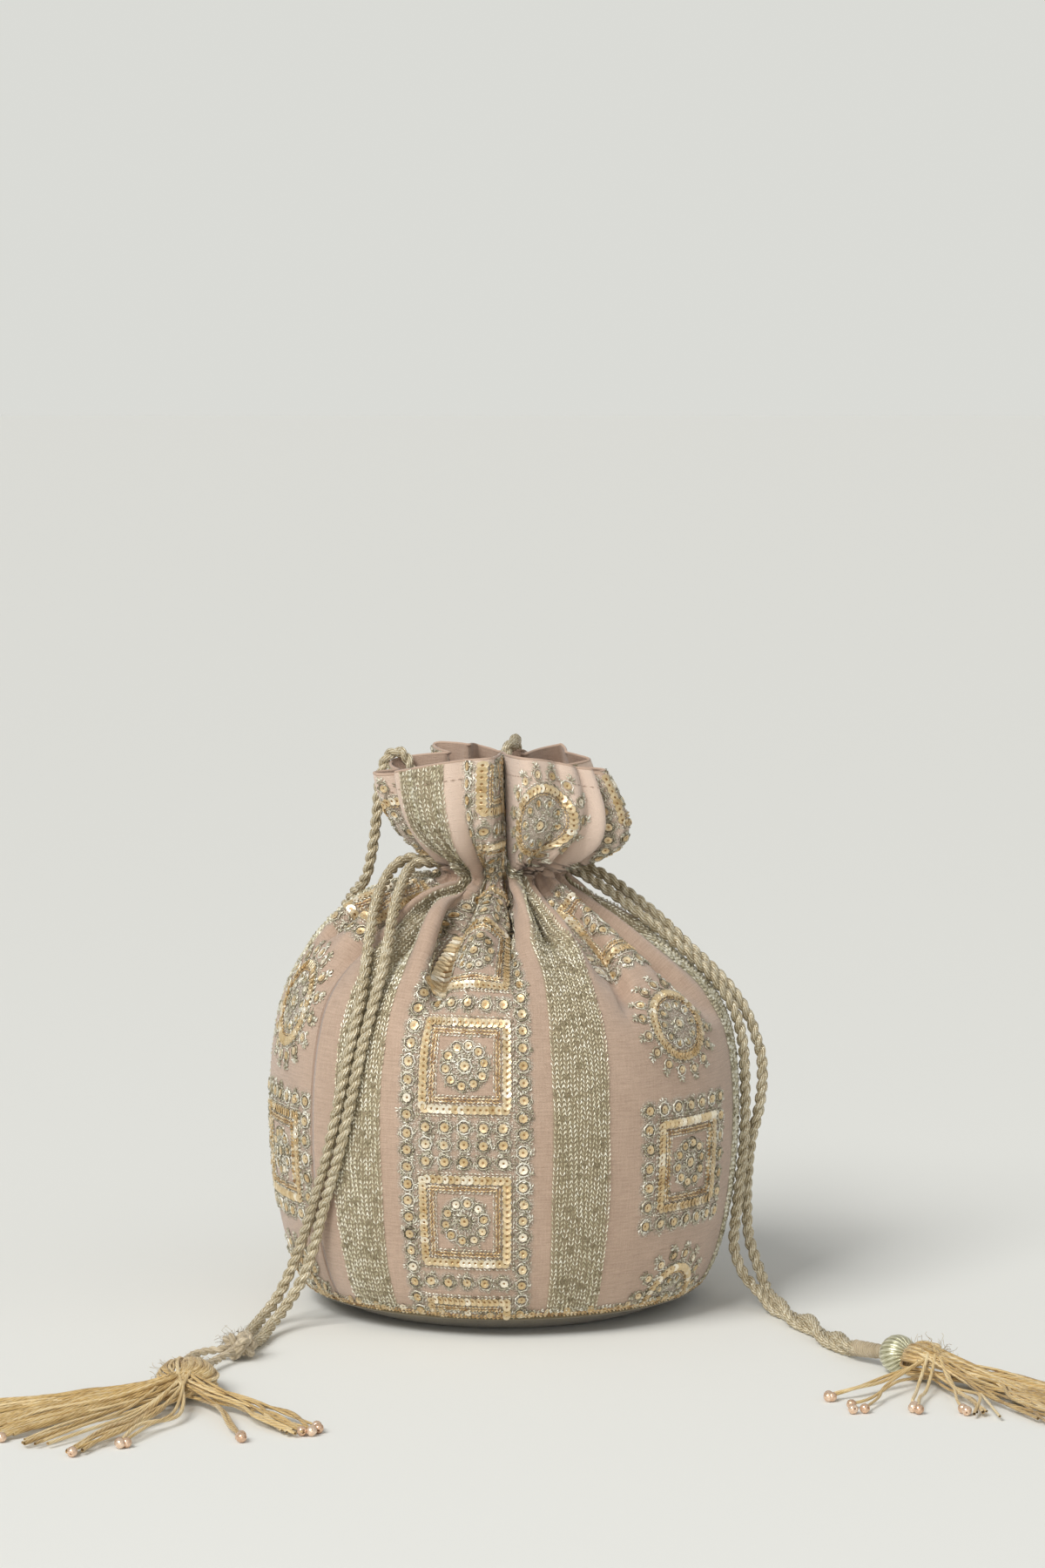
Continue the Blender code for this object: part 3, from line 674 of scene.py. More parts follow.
dots, suns, frames = [], [], []
for centre in COLUMN_A:
    frames += [(centre, v) for v in A_FRAMES]
    for v in np.arange(3, CLOTH_H, DOT_PITCH):
        dots += [(centre - EDGE, v), (centre + EDGE, v)]
    for low, high in zip(A_FRAMES, A_FRAMES[1:]):
        lines = 1 if high - low < NARROW_GAP else 3
        for k in range(lines):
            v = (low + high) / 2 + (k - (lines - 1) / 2) * DOT_PITCH
            dots += [(centre + s * DOT_STEP, v) for s in (-2, -1, 0, 1, 2)]
for centre in COLUMN_B:
    suns += [(centre, v) for v in B_SUNS]
    frames += [(centre, v) for v in B_FRAMES]
    for v in B_FRAMES:
        for k in range(7):
            s = (k - 3) * DOT_STEP
            dots += [(centre + s, v - EDGE), (centre + s, v + EDGE)]
            if 0 < k < 6:
                dots += [(centre - EDGE, v + s), (centre + EDGE, v + s)]

gold_spots, thread_rings, picots, stitch_spots, braid_spots = [], [], [], [], []
frame_sequins, sun_sequins, drop_spots, band_spots = [], [], [], []


def polar(u, v, reach, turn):
    """A place at a distance from another, in a direction given in radians."""
    return u + reach * cos(turn), v + reach * sin(turn)


def spot(place, turn=0, size=1, lift=0.1):
    """Where and how a stitch lies: its direction in degrees, and no tilt."""
    return (*place, turn, size, lift, 0, 0)


def dot(u, v, size=1, loose=8):
    """A sequin in a ring of curly thread, with loose picots around it."""
    gold_spots.append(spot((u, v), size=0.98 * size))
    thread_rings.append(spot((u, v), size=size, lift=0.05))
    for _ in range(loose):
        turn = dice.uniform(0, 360)
        reach = 1.9 * size + dice.uniform(0, 1.5)
        picots.append(spot(polar(u, v, reach, radians(turn)), turn + dice.normal(90, 50), 0.9))


def line_of(points, pitch, target, size):
    """Stitches along a closed line on the flat cloth."""
    points = np.array([*points, points[0]], dtype=float)
    length = arc(points)
    count = max(2, round(length[-1] / pitch))
    for s in (np.arange(count) + 0.5) / count * length[-1]:
        k = min(np.searchsorted(length, s, side="right") - 1, len(points) - 2)
        way = (points[k + 1] - points[k]) / (length[k + 1] - length[k])
        here = points[k] + way * (s - length[k])
        target.append(spot(here, degrees(atan2(way[1], way[0])), size))


def square(u, v, half):
    return [(u - half, v - half), (u + half, v - half), (u + half, v + half), (u - half, v + half)]


def circle(u, v, radius):
    return [polar(u, v, radius, turn) for turn in np.linspace(0, ROUND, 40, endpoint=False)]


# Each line: how far in or out it lies, its pitch, its stitches and their size
FRAME_LINES = ((2.4, 2.2, frame_sequins, 1), (0.5, 1.5, stitch_spots, 0.9),
    (4.4, 1.5, stitch_spots, 0.9), (5.6, 1.3, braid_spots, 1.1),
    (6.7, 1.5, stitch_spots, 0.9))
SUN_LINES = ((13.2, 2.15, sun_sequins, 0.98), (15, 1.6, stitch_spots, 0.85),
    (11.4, 1.5, braid_spots, 0.9))
SUN_PICOTS = ((20.9, 0), (20.6, 50), (20.6, -50), (21.9, 90))
for u, v in frames:
    for inset, pitch, target, size in FRAME_LINES:
        line_of(square(u, v, HALF - inset), pitch, target, size)
    dot(u, v, 1.05, 10)
    for k in range(6):
        stitch_spots.append(spot(polar(u, v, 2.2, radians(k * 60)), k * 60))
    for k in range(10):
        dot(*polar(u, v, 7, radians(k * 36 + 9)), 0.86, 3)
for u, v in dots:
    dot(u, v)
for u, v in suns:
    for radius, pitch, target, size in SUN_LINES:
        line_of(circle(u, v, radius), pitch, target, size)
    dot(u, v, 1.05, 8)
    for k in range(10):
        turn = radians(k * 36)
        drop_spots.append(spot(polar(u, v, 5.6, turn), k * 36))
        dot(*polar(u, v, 8.2, turn), 0.76, 0)
    for _ in range(44):
        turn, reach = dice.uniform(0, ROUND), 10.6 * dice.random() ** 0.5
        picots.append(spot(polar(u, v, reach, turn), dice.uniform(0, 360), 0.85))
    for k in range(16):
        turn = radians(k * 22.5 + 11)
        dot(*polar(u, v, 18.2, turn), 0.86, 3)
        for reach, lean in SUN_PICOTS:
            picots.append(spot(polar(u, v, reach, turn), degrees(turn) + lean, 1.15))

ZARI_COLUMNS, ZARI_APART, ZARI_PITCH = 10, 2.15, 1.62
for centre in BANDS:
    for column in range(ZARI_COLUMNS):
        u = centre + (column - (ZARI_COLUMNS - 1) / 2) * ZARI_APART
        for v in np.arange(dice.uniform(0, 1.4), CLOTH_H, ZARI_PITCH):
            band_spots.append(spot((u + 0.35 * sin(v * 0.11 + column), v), 90, lift=0.05))

BASE_STITCHES, BASE_SEQUINS, HEM_STITCHES = 330, 76, 190
for k in range(BASE_STITCHES):
    u = k * CLOTH_W / BASE_STITCHES
    braid_spots.append(spot((u, 1.9), size=1.15, lift=0.2))
    stitch_spots.append(spot((u + 0.8, 2.9 + dice.uniform(0, 0.8)), 25, 0.9))
for k in range(BASE_SEQUINS):
    place = (k * CLOTH_W / BASE_SEQUINS + dice.normal(0, 2), 2.2 + dice.uniform(0, 1.6))
    gold_spots.append(spot(place, size=0.9, lift=0.2))
hem_pitch = CLOTH_W / HEM_STITCHES
hem_spots = [spot((k * hem_pitch, CLOTH_H - 6.5), lift=0) for k in range(HEM_STITCHES)]


def sewn(shape, spots, shift, tilt, shades):
    """A lot of stitches, each a little out of place and with its own shade."""
    return sew(shape, jitter(spots, shift, tilt), tones(len(spots), *shades))


def sewn_piece(name, skin, lots, rounded=True):
    """Lots of stitches as one piece, each with its shade."""
    points, faces, shade = merge(lots)
    mesh_piece(name, points, faces, skin, {"shade": shade}, rounded)


sequin, curly_ring = sequin_shape(1.62, 0.42, 8), ring_shape(2.4, 0.36, 16, 0.2)
stitch, drop, zari_link, hem_stitch = (stitch_shape(*sizes) for sizes in (
    (1.9, 1.7, 0.55), (3.4, 2.6, 0.6), (2, 2.3, 0.52), (2.1, 0.3, 0.22)))
sewn_piece("sequins", sequin_gold, [
    sewn(sequin, gold_spots, 0.12, 0.10, (0.56, 0.12, 0.08)),
    sewn(sequin, leaning(frame_sequins), 0.05, 0.05, (0.62, 0.12, 0.14)),
    sewn(sequin, leaning(sun_sequins), 0.05, 0.05, (0.6, 0.12, 0.14))], False)
sewn_piece("thread_rings", silver, [
    sewn(curly_ring, thread_rings, 0.06, 0.04, (0.55, 0.16, 0.12))])
sewn_piece("silver_stitches", silver, [
    sewn(stitch, picots, 0.05, 0.1, (0.6, 0.2, 0.15)),
    sewn(stitch, stitch_spots, 0.06, 0.05, (0.65, 0.22, 0.16)),
    sew(drop, drop_spots, tones(len(drop_spots), 0.6))])
sewn_piece("orange_stitches", orange, [
    sewn(stitch, braid_spots, 0.08, 0.08, (0.55, 0.26, 0.08))])
sewn_piece("zari_bands", zari, [sewn(zari_link, band_spots, 0.1, 0.1, (0.6, 0.26, 0.16))])
points, faces, _ = sew(hem_stitch, hem_spots, tones(len(hem_spots)))
mesh_piece("hem_stitches", points, faces, facing_skin)

# The wall itself
HAZE_EDGE, BAND_HALF = 1.5, 9.9
haze, band = np.zeros_like(grid_u), np.zeros_like(grid_u)
for spots, reach in ((dots, 4.4), (suns, 16), (frames, 10)):
    for u, v in spots:
        near = np.hypot(short_way(grid_u - u), grid_v - v)
        haze = np.maximum(haze, 1 - smooth((near - reach + HAZE_EDGE) / HAZE_EDGE))
for centre in BANDS:
    band = np.maximum(band, 1 - smooth(np.abs(short_way(grid_u - centre)) - BAND_HALF))
flat = np.stack([grid_u, grid_v, np.zeros_like(grid_u)], axis=-1)
worked = {"flat": flat.reshape(-1, 3), "haze": haze.ravel(), "band": band.ravel()}
wall = mesh_piece("silk_wall", cloth_grid.reshape(-1, 3) * MM, grid_faces(ROWS, COLUMNS), rose,
    worked)
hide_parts("outer_wall", "ruffle")

# Rim, facing, lining and base
hem_line = cloth_grid[-1] - cloth_out[-1] * 0.45
hem = thread_piece("rim_hem", [strand(hem_line, 0.6, 6)], facing_skin)

TURN_DOWN, FACING_IN = 138, 0.95
inner = (cloth_grid[TURN_DOWN:] - cloth_out[TURN_DOWN:] * FACING_IN)[::2, ::2]
inner_faces = grid_faces(*inner.shape[:2])[:, ::-1]
facing = mesh_piece("ruffle_facing", inner.reshape(-1, 3) * MM, inner_faces, facing_skin,
    {"flat": flat[TURN_DOWN::2, ::2].reshape(-1, 3)})


def turned(name, profile, skin, puckers):
    """A cloth shape around the bag's axis, from radii and heights, with puckers near its edge."""
    line = smooth_path([(radius, 0, height) for radius, height in profile], 2.4)
    turn = np.linspace(0, ROUND, 97)[None, :]
    number, height, share = puckers
    near_edge = smooth((np.linspace(0, 1, len(line)) - share) / 0.2)[:, None]
    rise = height * np.cos(number * turn) * near_edge
    radius = line[:, :1] + 0 * turn
    points = np.stack([radius * np.sin(turn), -radius * np.cos(turn), line[:, 2:] + rise], axis=-1)
    spread = arc(line)[:, None]
    flat_disc = np.stack([spread * np.sin(turn), spread * np.cos(turn), 0 * radius], axis=-1)
    return mesh_piece(name, points.reshape(-1, 3) * MM, grid_faces(*points.shape[:2]), skin,
        {"flat": flat_disc.reshape(-1, 3)})


BASE_PROFILE = ((0.3, 0), (50, 0), (59.5, 1.6), (66.8, 5.2), (71.2, 8.2))
LINING_PROFILE = ((0.3, 1.5), (50, 1.5), (66.3, 6.7), (70.3, 9.6), (72.5, 14.3), (78.4, 21.7),
    (83.1, 45.4), (84, 72), (80.7, 100.4), (70.4, 112.9), (59.7, 118.3),
    (48.7, 124.1), (37.7, 131.5), (18.7, 139.8), (7.2, 150), (7.2, 164.6), (12, 166.5))
base = turned("base_disc", BASE_PROFILE, dark_base_and_shade, (52, 0.35, 0.75))
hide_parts("base_panel")
inside = turned("lining_cloth", LINING_PROFILE, satin, (16, 0.9, 0.35))
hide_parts("lining")
SEAM_RADIUS, SEAM_HEIGHT = 71.9, 7.4
turn = np.linspace(0, ROUND, 241)
seam_ring = np.stack([SEAM_RADIUS * np.sin(turn), -SEAM_RADIUS * np.cos(turn),
    0 * turn + SEAM_HEIGHT], axis=1)
# The piping takes the base's dark colour: painted shade at the foot of the wall.
piping = thread_piece("base_piping", [strand(seam_ring, 0.85, 8)], dark_base_and_shade)


# Cords
CORD_D, PITCH, FLOOR_GAP = 4, 9, 2.26
LEFT_EXIT, RIGHT_EXIT = (-80, 161.8), (112, 157.5)
EXIT_APART = 2.15
TWINE_LOW, TWINE_PITCH, TWINE_APART, TWINE_WAIT, TWINE_CLOSES = 13, 60, 1.55, 13, 16
LEFT_OUTER = (
    (-33.8, -2.4, 163), (-39.3, -6.2, 160.7), (-43, -16, 156.2), (-45.7, -31.5, 149.2),
    (-47.5, -47.6, 138.7), (-50.2, -63.7, 119), (-55, -67.3, 97.6), (-58.9, -66.1, 78.8),
    (-63.5, -61.3, 59.2), (-69.4, -51.6, 38.6), (-72.8, -47.7, 28), (-77.2, -45.7, 16.8),
    (-81.8, -48.5, 8.2), (-86.9, -60, 3.4), (-90, -80, 2.5), (-92.9, -97.4, 3.3),
    (-92, -101.5, 4.4),
)
LEFT_INNER = (
    (-30.9, -9.4, 162), (-34, -13.6, 160.3), (-36.4, -24.5, 156.3), (-39.1, -41.5, 147.5),
    (-41.4, -57.9, 133.9), (-45.2, -66.9, 119.5), (-50, -70.3, 101.2), (-53.8, -70.1, 82.6),
    (-58.3, -66.5, 63.4), (-64, -58.9, 43.1), (-67.4, -54.6, 29.6), (-71.2, -54.6, 18.6),
    (-76.9, -58.5, 9.2), (-82.3, -70, 3.8), (-84.9, -84, 2.5), (-88.4, -97.4, 3.3),
    (-89.6, -101.5, 4.4),
)
RIGHT_FRONT = (
    (28.2, 5.6, 156.9), (33, 3, 154.1), (41.2, 0, 149), (49.1, -3, 143.2),
    (56.7, -5, 137.6), (64.2, -6, 131.4), (71.5, -6, 124.9), (78.3, -6, 117.6),
    (83, -6, 110.6), (85.7, -6, 104), (87.3, -6, 97.5), (88.1, -6, 91),
    (88.6, -6, 78.3), (88.5, -8, 65.7), (87.6, -10, 53.2), (86, -12, 40.6),
    (84.6, -14, 28.2), (84.4, -16, 21), (86.8, -18.5, 14), (90.5, -24, 8.2),
    (94.9, -32, 4.3), (98.9, -42.7, 2.8), (104.9, -60.6, 2.6), (110.1, -78.6, 2.6),
    (115.2, -95.9, 3.1), (119.6, -106.9, 4.2), (121.4, -109.4, 4.5),
)
RIGHT_BACK = (
    (28, 13.2, 158.8), (33.9, 11.2, 156.9), (40.6, 9, 153.2), (47.5, 6.5, 148.1),
    (55.7, 4, 141.9), (62.3, 2, 135.9), (68.8, 0.5, 129.6), (76, -0.5, 122.9),
    (82.7, -1, 115.9), (87.4, -1, 109.3), (90.7, -1, 103), (92.8, -1, 96.7),
    (94.7, -1.5, 90), (95.1, -2, 80.6), (94, -2.5, 71.2), (92.4, -2.8, 64.5),
    (91, -3.5, 58.6), (89.9, -4.5, 49), (89.4, -5, 39.3), (89.8, -7, 26.5),
    (91.2, -9.5, 20), (93.5, -13, 13.5), (96.5, -18.5, 7.8), (99.8, -28, 4.2),
    (103.1, -41.3, 2.8), (109.2, -59.4, 2.6), (114.4, -77.4, 2.6), (119.4, -94.1, 3.1),
    (123.3, -104.5, 4.2), (125, -107, 4.5),
)
CARRY_LOOP = (
    (-25.2, 13.2, 171), (-30.2, 14.8, 182), (-33.2, 15.8, 191.5), (-37, 18.6, 199.6),
    (-42.5, 20.6, 198.8), (-45.4, 21.2, 192), (-46.4, 21, 184), (-47.3, 21, 174),
    (-48.8, 21, 163),
    (-51.5, 23.5, 152.5), (-56.5, 32, 145.5), (-62.5, 43.5, 133.5), (-64.5, 53.5, 117),
    (-59, 66, 98), (-47.2, 75.3, 82), (-30, 83.5, 71), (-8, 88.4, 65),
    (14, 87.5, 68), (33, 82, 80), (44.2, 74.8, 98), (46.6, 65.6, 118),
    (38, 55.5, 134.5), (25, 47, 147), (13.5, 42.5, 160), (6.5, 44.5, 177),
    (5, 43.5, 191.5), (4.6, 37, 202.2), (4.2, 27, 203.8), (3.6, 12, 203.2),
    (2.8, 0.5, 203.8), (1.6, -6, 204), (0.6, -8.8, 198.5), (0.4, -9.2, 190),
    (0.4, -8.9, 181),
)
LINK = (
    (-96.9, -107.3, 4.2), (-101.5, -107.4, 3.6), (-106, -111.5, 3.2), (-108.2, -121, 3.2),
    (-107.9, -132, 4.2), (-104.8, -140.5, 5), (-101.5, -136, 4.4), (-99.6, -126, 3.5),
    (-96.2, -117, 3.6), (-93.6, -112.5, 4.2),
)


def leaving(angle, height, side):
    """A cord's straight way out of the neck, beside its partner."""
    angle = radians(angle)
    out = np.array([sin(angle), -cos(angle), 0])
    beside = np.array([cos(angle), sin(angle), 0]) * side * EXIT_APART
    return [tuple(out * radius + beside + (0, 0, height)) for radius in (9.5, 17.25, 25)]


def twined(first, second):
    """Two cords that lie twisted around each other from where they come down low."""
    first, second = evenly(first, 420), evenly(second, 420)
    middle, half = (first + second) / 2, (first - second) / 2
    along = arc(middle)
    start = along[np.argmax(middle[:, 2] < TWINE_LOW)]
    way, _, _ = directions(middle)
    half -= way * np.sum(half * way, axis=1, keepdims=True) * smooth((along - start) / 10)[:, None]
    size = np.linalg.norm(half, axis=1)
    turn = (ROUND * np.clip(along - start - TWINE_WAIT, 0, None) / TWINE_PITCH)[:, None]
    ending = 1 - 0.5 * smooth((along - along[-1] + 9) / 9)
    want = size + (TWINE_APART * ending - size) * smooth((along - start) / TWINE_CLOSES)
    half = (half * np.cos(turn) + np.cross(way, half) * np.sin(turn)) * (want / size)[:, None]
    middle[:, 2] = np.maximum(middle[:, 2], FLOOR_GAP + np.abs(half[:, 2]))
    return middle + half, middle - half


def cord_piece(name, line, exit_place, length, far_end, with_pieces=(), phase=0):
    line = evenly(line, round(arc(line)[-1] / 0.75))
    cord = thread_piece(name + "_rope", plies(line, CORD_D, PITCH, phase), sage)
    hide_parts(name)
    (line * MM).tolist()


def fuzz(centre, half, count):
    """Loose hairs that stand off a worn knot or head."""
    hairs = []
    for _ in range(count):
        out = dice.normal(0, 1, 3)
        out[2] = abs(out[2])
        out /= np.linalg.norm(out)
        root = centre + out * half * 0.9
        bend = dice.normal(0, 1, (3, 3)) * 0.9
        hair = smooth_path([root, root + out * 1.2 + bend[0] * 0.3, root + out * 2 + bend[1],
            root + out * 2.6 + bend[1] + bend[2]], 1)
        hair[:, 2] = np.maximum(hair[:, 2], 0.1)
        hairs.append(strand(hair, 0.07, 3, 0.9))
    return hairs


# The left end: an overhand knot, a small link and a folded tassel
KNOT_AT, KNOT_HALF = np.array([-90.8, -104.5, 4.9]), np.array([6, 6.6, 4.2])
turn = np.linspace(0, ROUND, 90)
knot_line = np.stack([1.45 * (np.sin(turn) + 2 * np.sin(2 * turn)),
    1.75 * (np.cos(turn) - 2 * np.cos(2 * turn)),
    -2.3 * np.sin(3 * turn)], axis=1) + KNOT_AT
knot_plies = plies(knot_line, 4.1, 7.5) + fuzz(KNOT_AT, KNOT_HALF, 90)
knot = thread_piece("knot_rope", knot_plies, beige_thread)
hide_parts("knot_left")
link_line = smooth_path([tuple(KNOT_AT + (-2, -1, 0.4))] + list(LINK)
    + [tuple(KNOT_AT + (-1, -3.5, 0))], 0.6)
link = thread_piece("link_rope", plies(link_line, 2.7, 6), beige_thread)
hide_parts("link_left")

# The right end: a thread binding and a wound ball
BALL_AT, BALL_R = np.array([135, -125, 6.5]), 6.5
HEADING = np.array([0.571, -0.815, 0.092])
HEADING /= np.linalg.norm(HEADING)
WINDS = 20
stops = np.linspace(0, 1, 420)[:, None]
near = BALL_AT - HEADING * (BALL_R + 0.2)
_, binding_side, binding_up = directions(near + HEADING * (stops * 16.4))
winds = stops * ROUND * WINDS
bound_out = 2.45 - 0.5 * stops + 0.12 * np.sin(stops * 37)
bound = near - HEADING * (16.3 - stops * 16.2) + bound_out * (
    np.cos(winds) * binding_side + np.sin(winds) * binding_up)
binding = thread_piece("binding_thread", [strand(bound, 0.46, 6)], beige_thread)
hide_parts("binding_right")
cap = np.linspace(0.04, pi - 0.04, 49)
ball_line = BALL_AT - HEADING * (6.2 * np.cos(cap))[:, None]
ball_points, ball_faces, ball_lay = strand(ball_line, BALL_R * np.sin(cap), 160)
reach = ball_points - BALL_AT
slant = ball_lay[:, 0] * 22 + ball_lay[:, 1] * 0.9
ball_points = BALL_AT + reach * (1 + 0.022 * np.cos(slant))[:, None]
ball_lay[:, 0] = 0.35
# The ball's own value follows the winding, so its colour is lighter on the ridges and darker
# between them: painted highlight and shade.
ball_lay[:, 2] = 0.5 + 0.5 * np.cos(slant)
ball = thread_piece("wound_ball", [(ball_points, ball_faces, ball_lay)], ball_zari)
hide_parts("ball_right")


def from_neck(exit_at, side, route):
    return smooth_path(leaving(*exit_at, side) + list(route), 1)


left_a, left_b = from_neck(LEFT_EXIT, -1, LEFT_OUTER), from_neck(LEFT_EXIT, 1, LEFT_INNER)
right_a, right_b = twined(from_neck(RIGHT_EXIT, -1, RIGHT_FRONT),
    from_neck(RIGHT_EXIT, 1, RIGHT_BACK))
left_end, right_end = ("knot", [knot, link]), ("fitting", [binding, ball])
cord_piece("drawcord_left_a", left_a, leaving(*LEFT_EXIT, -1)[2], 0.277, *left_end)
cord_piece("drawcord_left_b", left_b, leaving(*LEFT_EXIT, 1)[2], 0.26, *left_end, 1.3)
cord_piece("drawcord_right_a", right_a, leaving(*RIGHT_EXIT, -1)[2], 0.306, *right_end, 0.6)
cord_piece("drawcord_right_b", right_b, leaving(*RIGHT_EXIT, 1)[2], 0.312, *right_end, 2.4)
cord_piece("carry_loop", smooth_path(CARRY_LOOP, 1), CARRY_LOOP[0], 0.495, "object")
for name in ("drawcord_left_loop", "drawcord_right_loop"):
    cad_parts[name].data.materials.clear()
    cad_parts[name].data.materials.append(sage)


# Tassels
BEAD_R = 1.7


def fan(routes, place):
    """A route between two neighbouring ones."""
    low = min(int(place), len(routes) - 2)
    share = place - low
    return np.array(routes[low]) * (1 - share) + np.array(routes[low + 1]) * share


def nodes_of(side, kind):
    return [f"tassel_{side}_{kind}_{number}" for number in range(1, 7)]


def tassel(side, fold, head, size, heading, routes, places, radius):
    """Threads from a fold, over a full round head, out to the ends of their routes."""
    heading = np.array([heading[0], heading[1], 0]) / hypot(heading[0], heading[1])
    across = np.array([-heading[1], heading[0], 0])
    lots, tips = [], []
    for number, place in enumerate(places):
        route = fan(routes, place)
        lean = 1 - 2 * place / (len(routes) - 1)
        turn = acos(np.clip(lean * 0.55 + dice.normal(0, 0.5), -0.98, 0.98))
        turn = -turn if number % 4 == 3 else turn
        around = across * cos(turn) * size[0] / 2 + (0, 0, sin(turn) * size[2] / 2)
        full = 0.92 - 0.14 * dice.random()
        neck = fold + around * 0.34
        swell = head - heading * size[1] * 0.24 + around * full
        body = head + heading * size[1] * 0.2 + around * full * 0.86
        way_out = [route[k] + dice.normal(0, 1, 3) * np.array([2.4, 2.4, 0]) * (0.55, 0.8, 1)[k]
            + (0, 0, (2.6, 1.5, 0)[k] * dice.random()) for k in range(3)]
        line = smooth_path([fold + around * 0.15 - heading, neck, swell, body] + way_out, 2)
        wave = np.sin(arc(line) / dice.uniform(6, 12) + dice.uniform(0, 6))
        line += across * wave[:, None] * 0.55
        line[:, 2] = np.maximum(line[:, 2], radius * 1.2)
        lots.append(strand(line, radius * dice.uniform(0.8, 1.15), 5, dice.uniform(0, 1)))
        tips.append(line[-1])
    lots += fuzz(head, np.array(size) * 0.5, 70)
    piece = thread_piece(f"tassel_{side}_threads", lots, tassel_gold)
    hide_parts(*nodes_of(side, "strand"), f"tassel_{side}_head")
    return tips


def bead_shape(radius):
    """A round bead with a dimple where its thread comes out."""
    steps = 14
    rings = ((0.16, -0.86), (0.3, -0.97), (0.72, -0.7), (0.97, -0.22), (0.97, 0.24), (0.72, 0.7),
             (0.3, 0.97), (0.16, 0.86))
    faces = [face for low in range(len(rings) - 1) for face in ring_faces(low, low + 1, steps)]
    faces += cap_faces(steps)
    last = (len(rings) - 1) * steps
    faces += [tuple(last + corner for corner in reversed(face)) for face in cap_faces(steps)]
    return ring_points(rings, steps) * radius, np.array(faces)


def beads(side, places):
    """A row of beads on the floor."""
    points, faces = bead_shape(BEAD_R)
    lots = []
    for place in places:
        tilt = Matrix.Rotation(dice.uniform(0, 3.1), 3, "Z") @ Matrix.Rotation(1.3, 3, "X")
        where = points @ np.array(tilt).T + np.array([place[0], place[1], BEAD_R])
        lots.append((where, faces, np.full(len(points), dice.uniform(0.3, 0.8))))
    points, faces, shade = merge(lots)
    piece = mesh_piece(f"tassel_{side}_beads", points * MM, faces, bead_metal,
        {"shade": shade})
    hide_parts(*nodes_of(side, "bead"))


LEFT_STRANDS = (
    ((-131, -168, 3.2), (-150, -171, 2.4), (-170, -176, 1.8)),
    ((-126, -190, 2.8), (-143, -206, 2.3), (-159, -223, 1.8)),
    ((-113, -198, 2.7), (-124, -222, 2.2), (-134.5, -242, 1.8)),
    ((-105, -196, 2.7), (-112, -214, 2.2), (-118.5, -230, 1.8)),
    ((-93, -192, 2.7), (-88, -208, 2.2), (-83, -222, 1.8)),
    ((-82, -186, 2.8), (-70, -200, 2.2), (-58.5, -211, 1.8)),
)
RIGHT_STRANDS = (
    ((128.5, -152, 2.6), (118.5, -161, 2.2), (109.5, -167.5, 1.8)),
    ((131.5, -159, 2.6), (123, -173, 2.2), (115.2, -184.8, 1.8)),
    ((139.8, -161, 2.5), (137, -173, 2.2), (135, -183, 1.8)),
    ((149.6, -160, 2.6), (151, -175, 2.2), (152.2, -187, 1.8)),
    ((160, -161, 2.7), (169.5, -181, 2.2), (178, -201, 1.8)),
    ((165.5, -147, 3.6), (182, -157, 2.4), (203, -168.5, 1.8)),
)
left_places = np.concatenate([dice.uniform(0, 1, 58), dice.uniform(1, 2.1, 10),
    dice.uniform(4.6, 5, 7), (2, 3, 2.9, 4, 4.1, 5, 4.9, 5, 4.8)])
left_tips = tassel("left", np.array([-104.8, -140.8, 5.6]), np.array([-104.8, -159.2, 5.9]),
    (19, 35, 11.4), (0, -1), LEFT_STRANDS, left_places, 0.62)
right_places = np.concatenate([dice.uniform(4.2, 5, 60), dice.uniform(3, 4.2, 9),
    (0, 0.1, 1, 1.1, 2, 2, 3)])
right_head = BALL_AT + HEADING * (BALL_R + 8.8)
right_head[2] = 6.6
right_tips = tassel("right", BALL_AT + HEADING * (BALL_R + 0.4), right_head, (16, 17, 13),
    HEADING, RIGHT_STRANDS, right_places, 0.6)
beads("left", [route[-1] for route in LEFT_STRANDS] + left_tips[-9:])
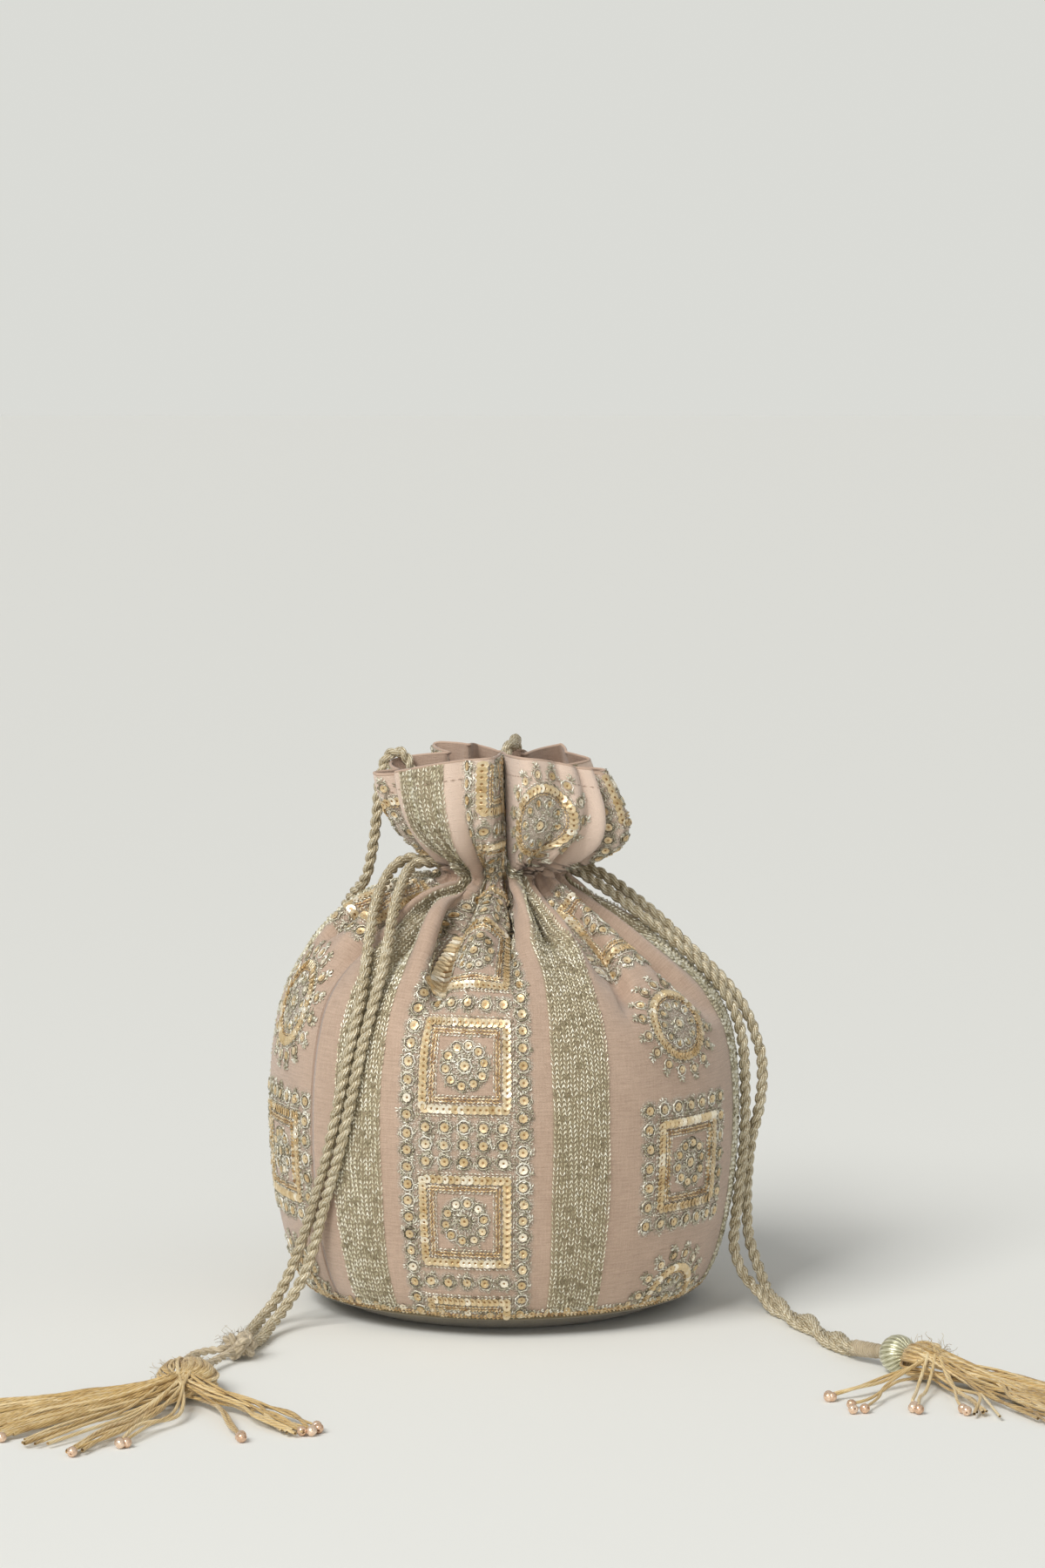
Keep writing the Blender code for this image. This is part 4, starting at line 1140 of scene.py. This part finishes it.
beads("right", [route[-1] for route in RIGHT_STRANDS] + right_tips[-7:])


# Floor, light and air
SPARK_AT = Vector((-0.5, -1.2, 1.1))
FLOOR_HALF = 40


def lamp(kind, name, toward, power, colour, **settings):
    data = bpy.data.lights.new(name, kind)
    data.energy, data.color = power, colour
    for key, value in settings.items():
        setattr(data, key, value)
    made = added(name, data)
    made.rotation_euler = Vector(toward).to_track_quat("-Z", "Y").to_euler()
    return made


lamp("SUN", "key", (0.60, 0.70, -0.92), 2, (1, 0.985, 0.955), angle=radians(32))
lamp("SUN", "front", (0.05, 1, -0.1), 0.6, (1, 0.99, 0.97), angle=radians(40))
lamp("SUN", "fill", (-0.75, 0.55, -0.6), 0.2, (0.98, 0.99, 1), angle=radians(60))
spark = lamp("AREA", "spark", Vector((0, 0, 0.1)) - SPARK_AT, 3, (1, 1, 1),
    shape="RECTANGLE", size=0.25, size_y=0.25)
spark.location = SPARK_AT

air = bpy.data.worlds.new("air")
bpy.context.scene.world = air
air.use_nodes = True
nodes, links = air.node_tree.nodes, air.node_tree.links
glow = nodes["Background"]
glow.inputs["Color"].default_value = (1, 1, 0.98, 1)
glow.inputs["Strength"].default_value = 0.37
seen = nodes.new("ShaderNodeBackground")
seen.inputs["Color"].default_value = (0.705, 0.71, 0.675, 1)
mixed = nodes.new("ShaderNodeMixShader")
camera_ray = nodes.new("ShaderNodeLightPath").outputs["Is Camera Ray"]
for number, output in enumerate((camera_ray, glow.outputs[0], seen.outputs[0])):
    links.new(output, mixed.inputs[number])
links.new(mixed.outputs[0], nodes["World Output"].inputs["Surface"])

floor_skin = Finish("floor", Roughness=0.85, Specular_IOR_Level=0.2)
floor_skin.paint((0.825, 0.83, 0.80))
floor_mesh = bpy.data.meshes.new("floor")
corners = [(*corner, 0) for corner in square(0, 0, FLOOR_HALF)]
floor_mesh.from_pydata(corners, [], [(0, 1, 2, 3)])
floor_mesh.materials.append(floor_skin.material)
floor = added("floor", floor_mesh)

bpy.context.view_layer.update()
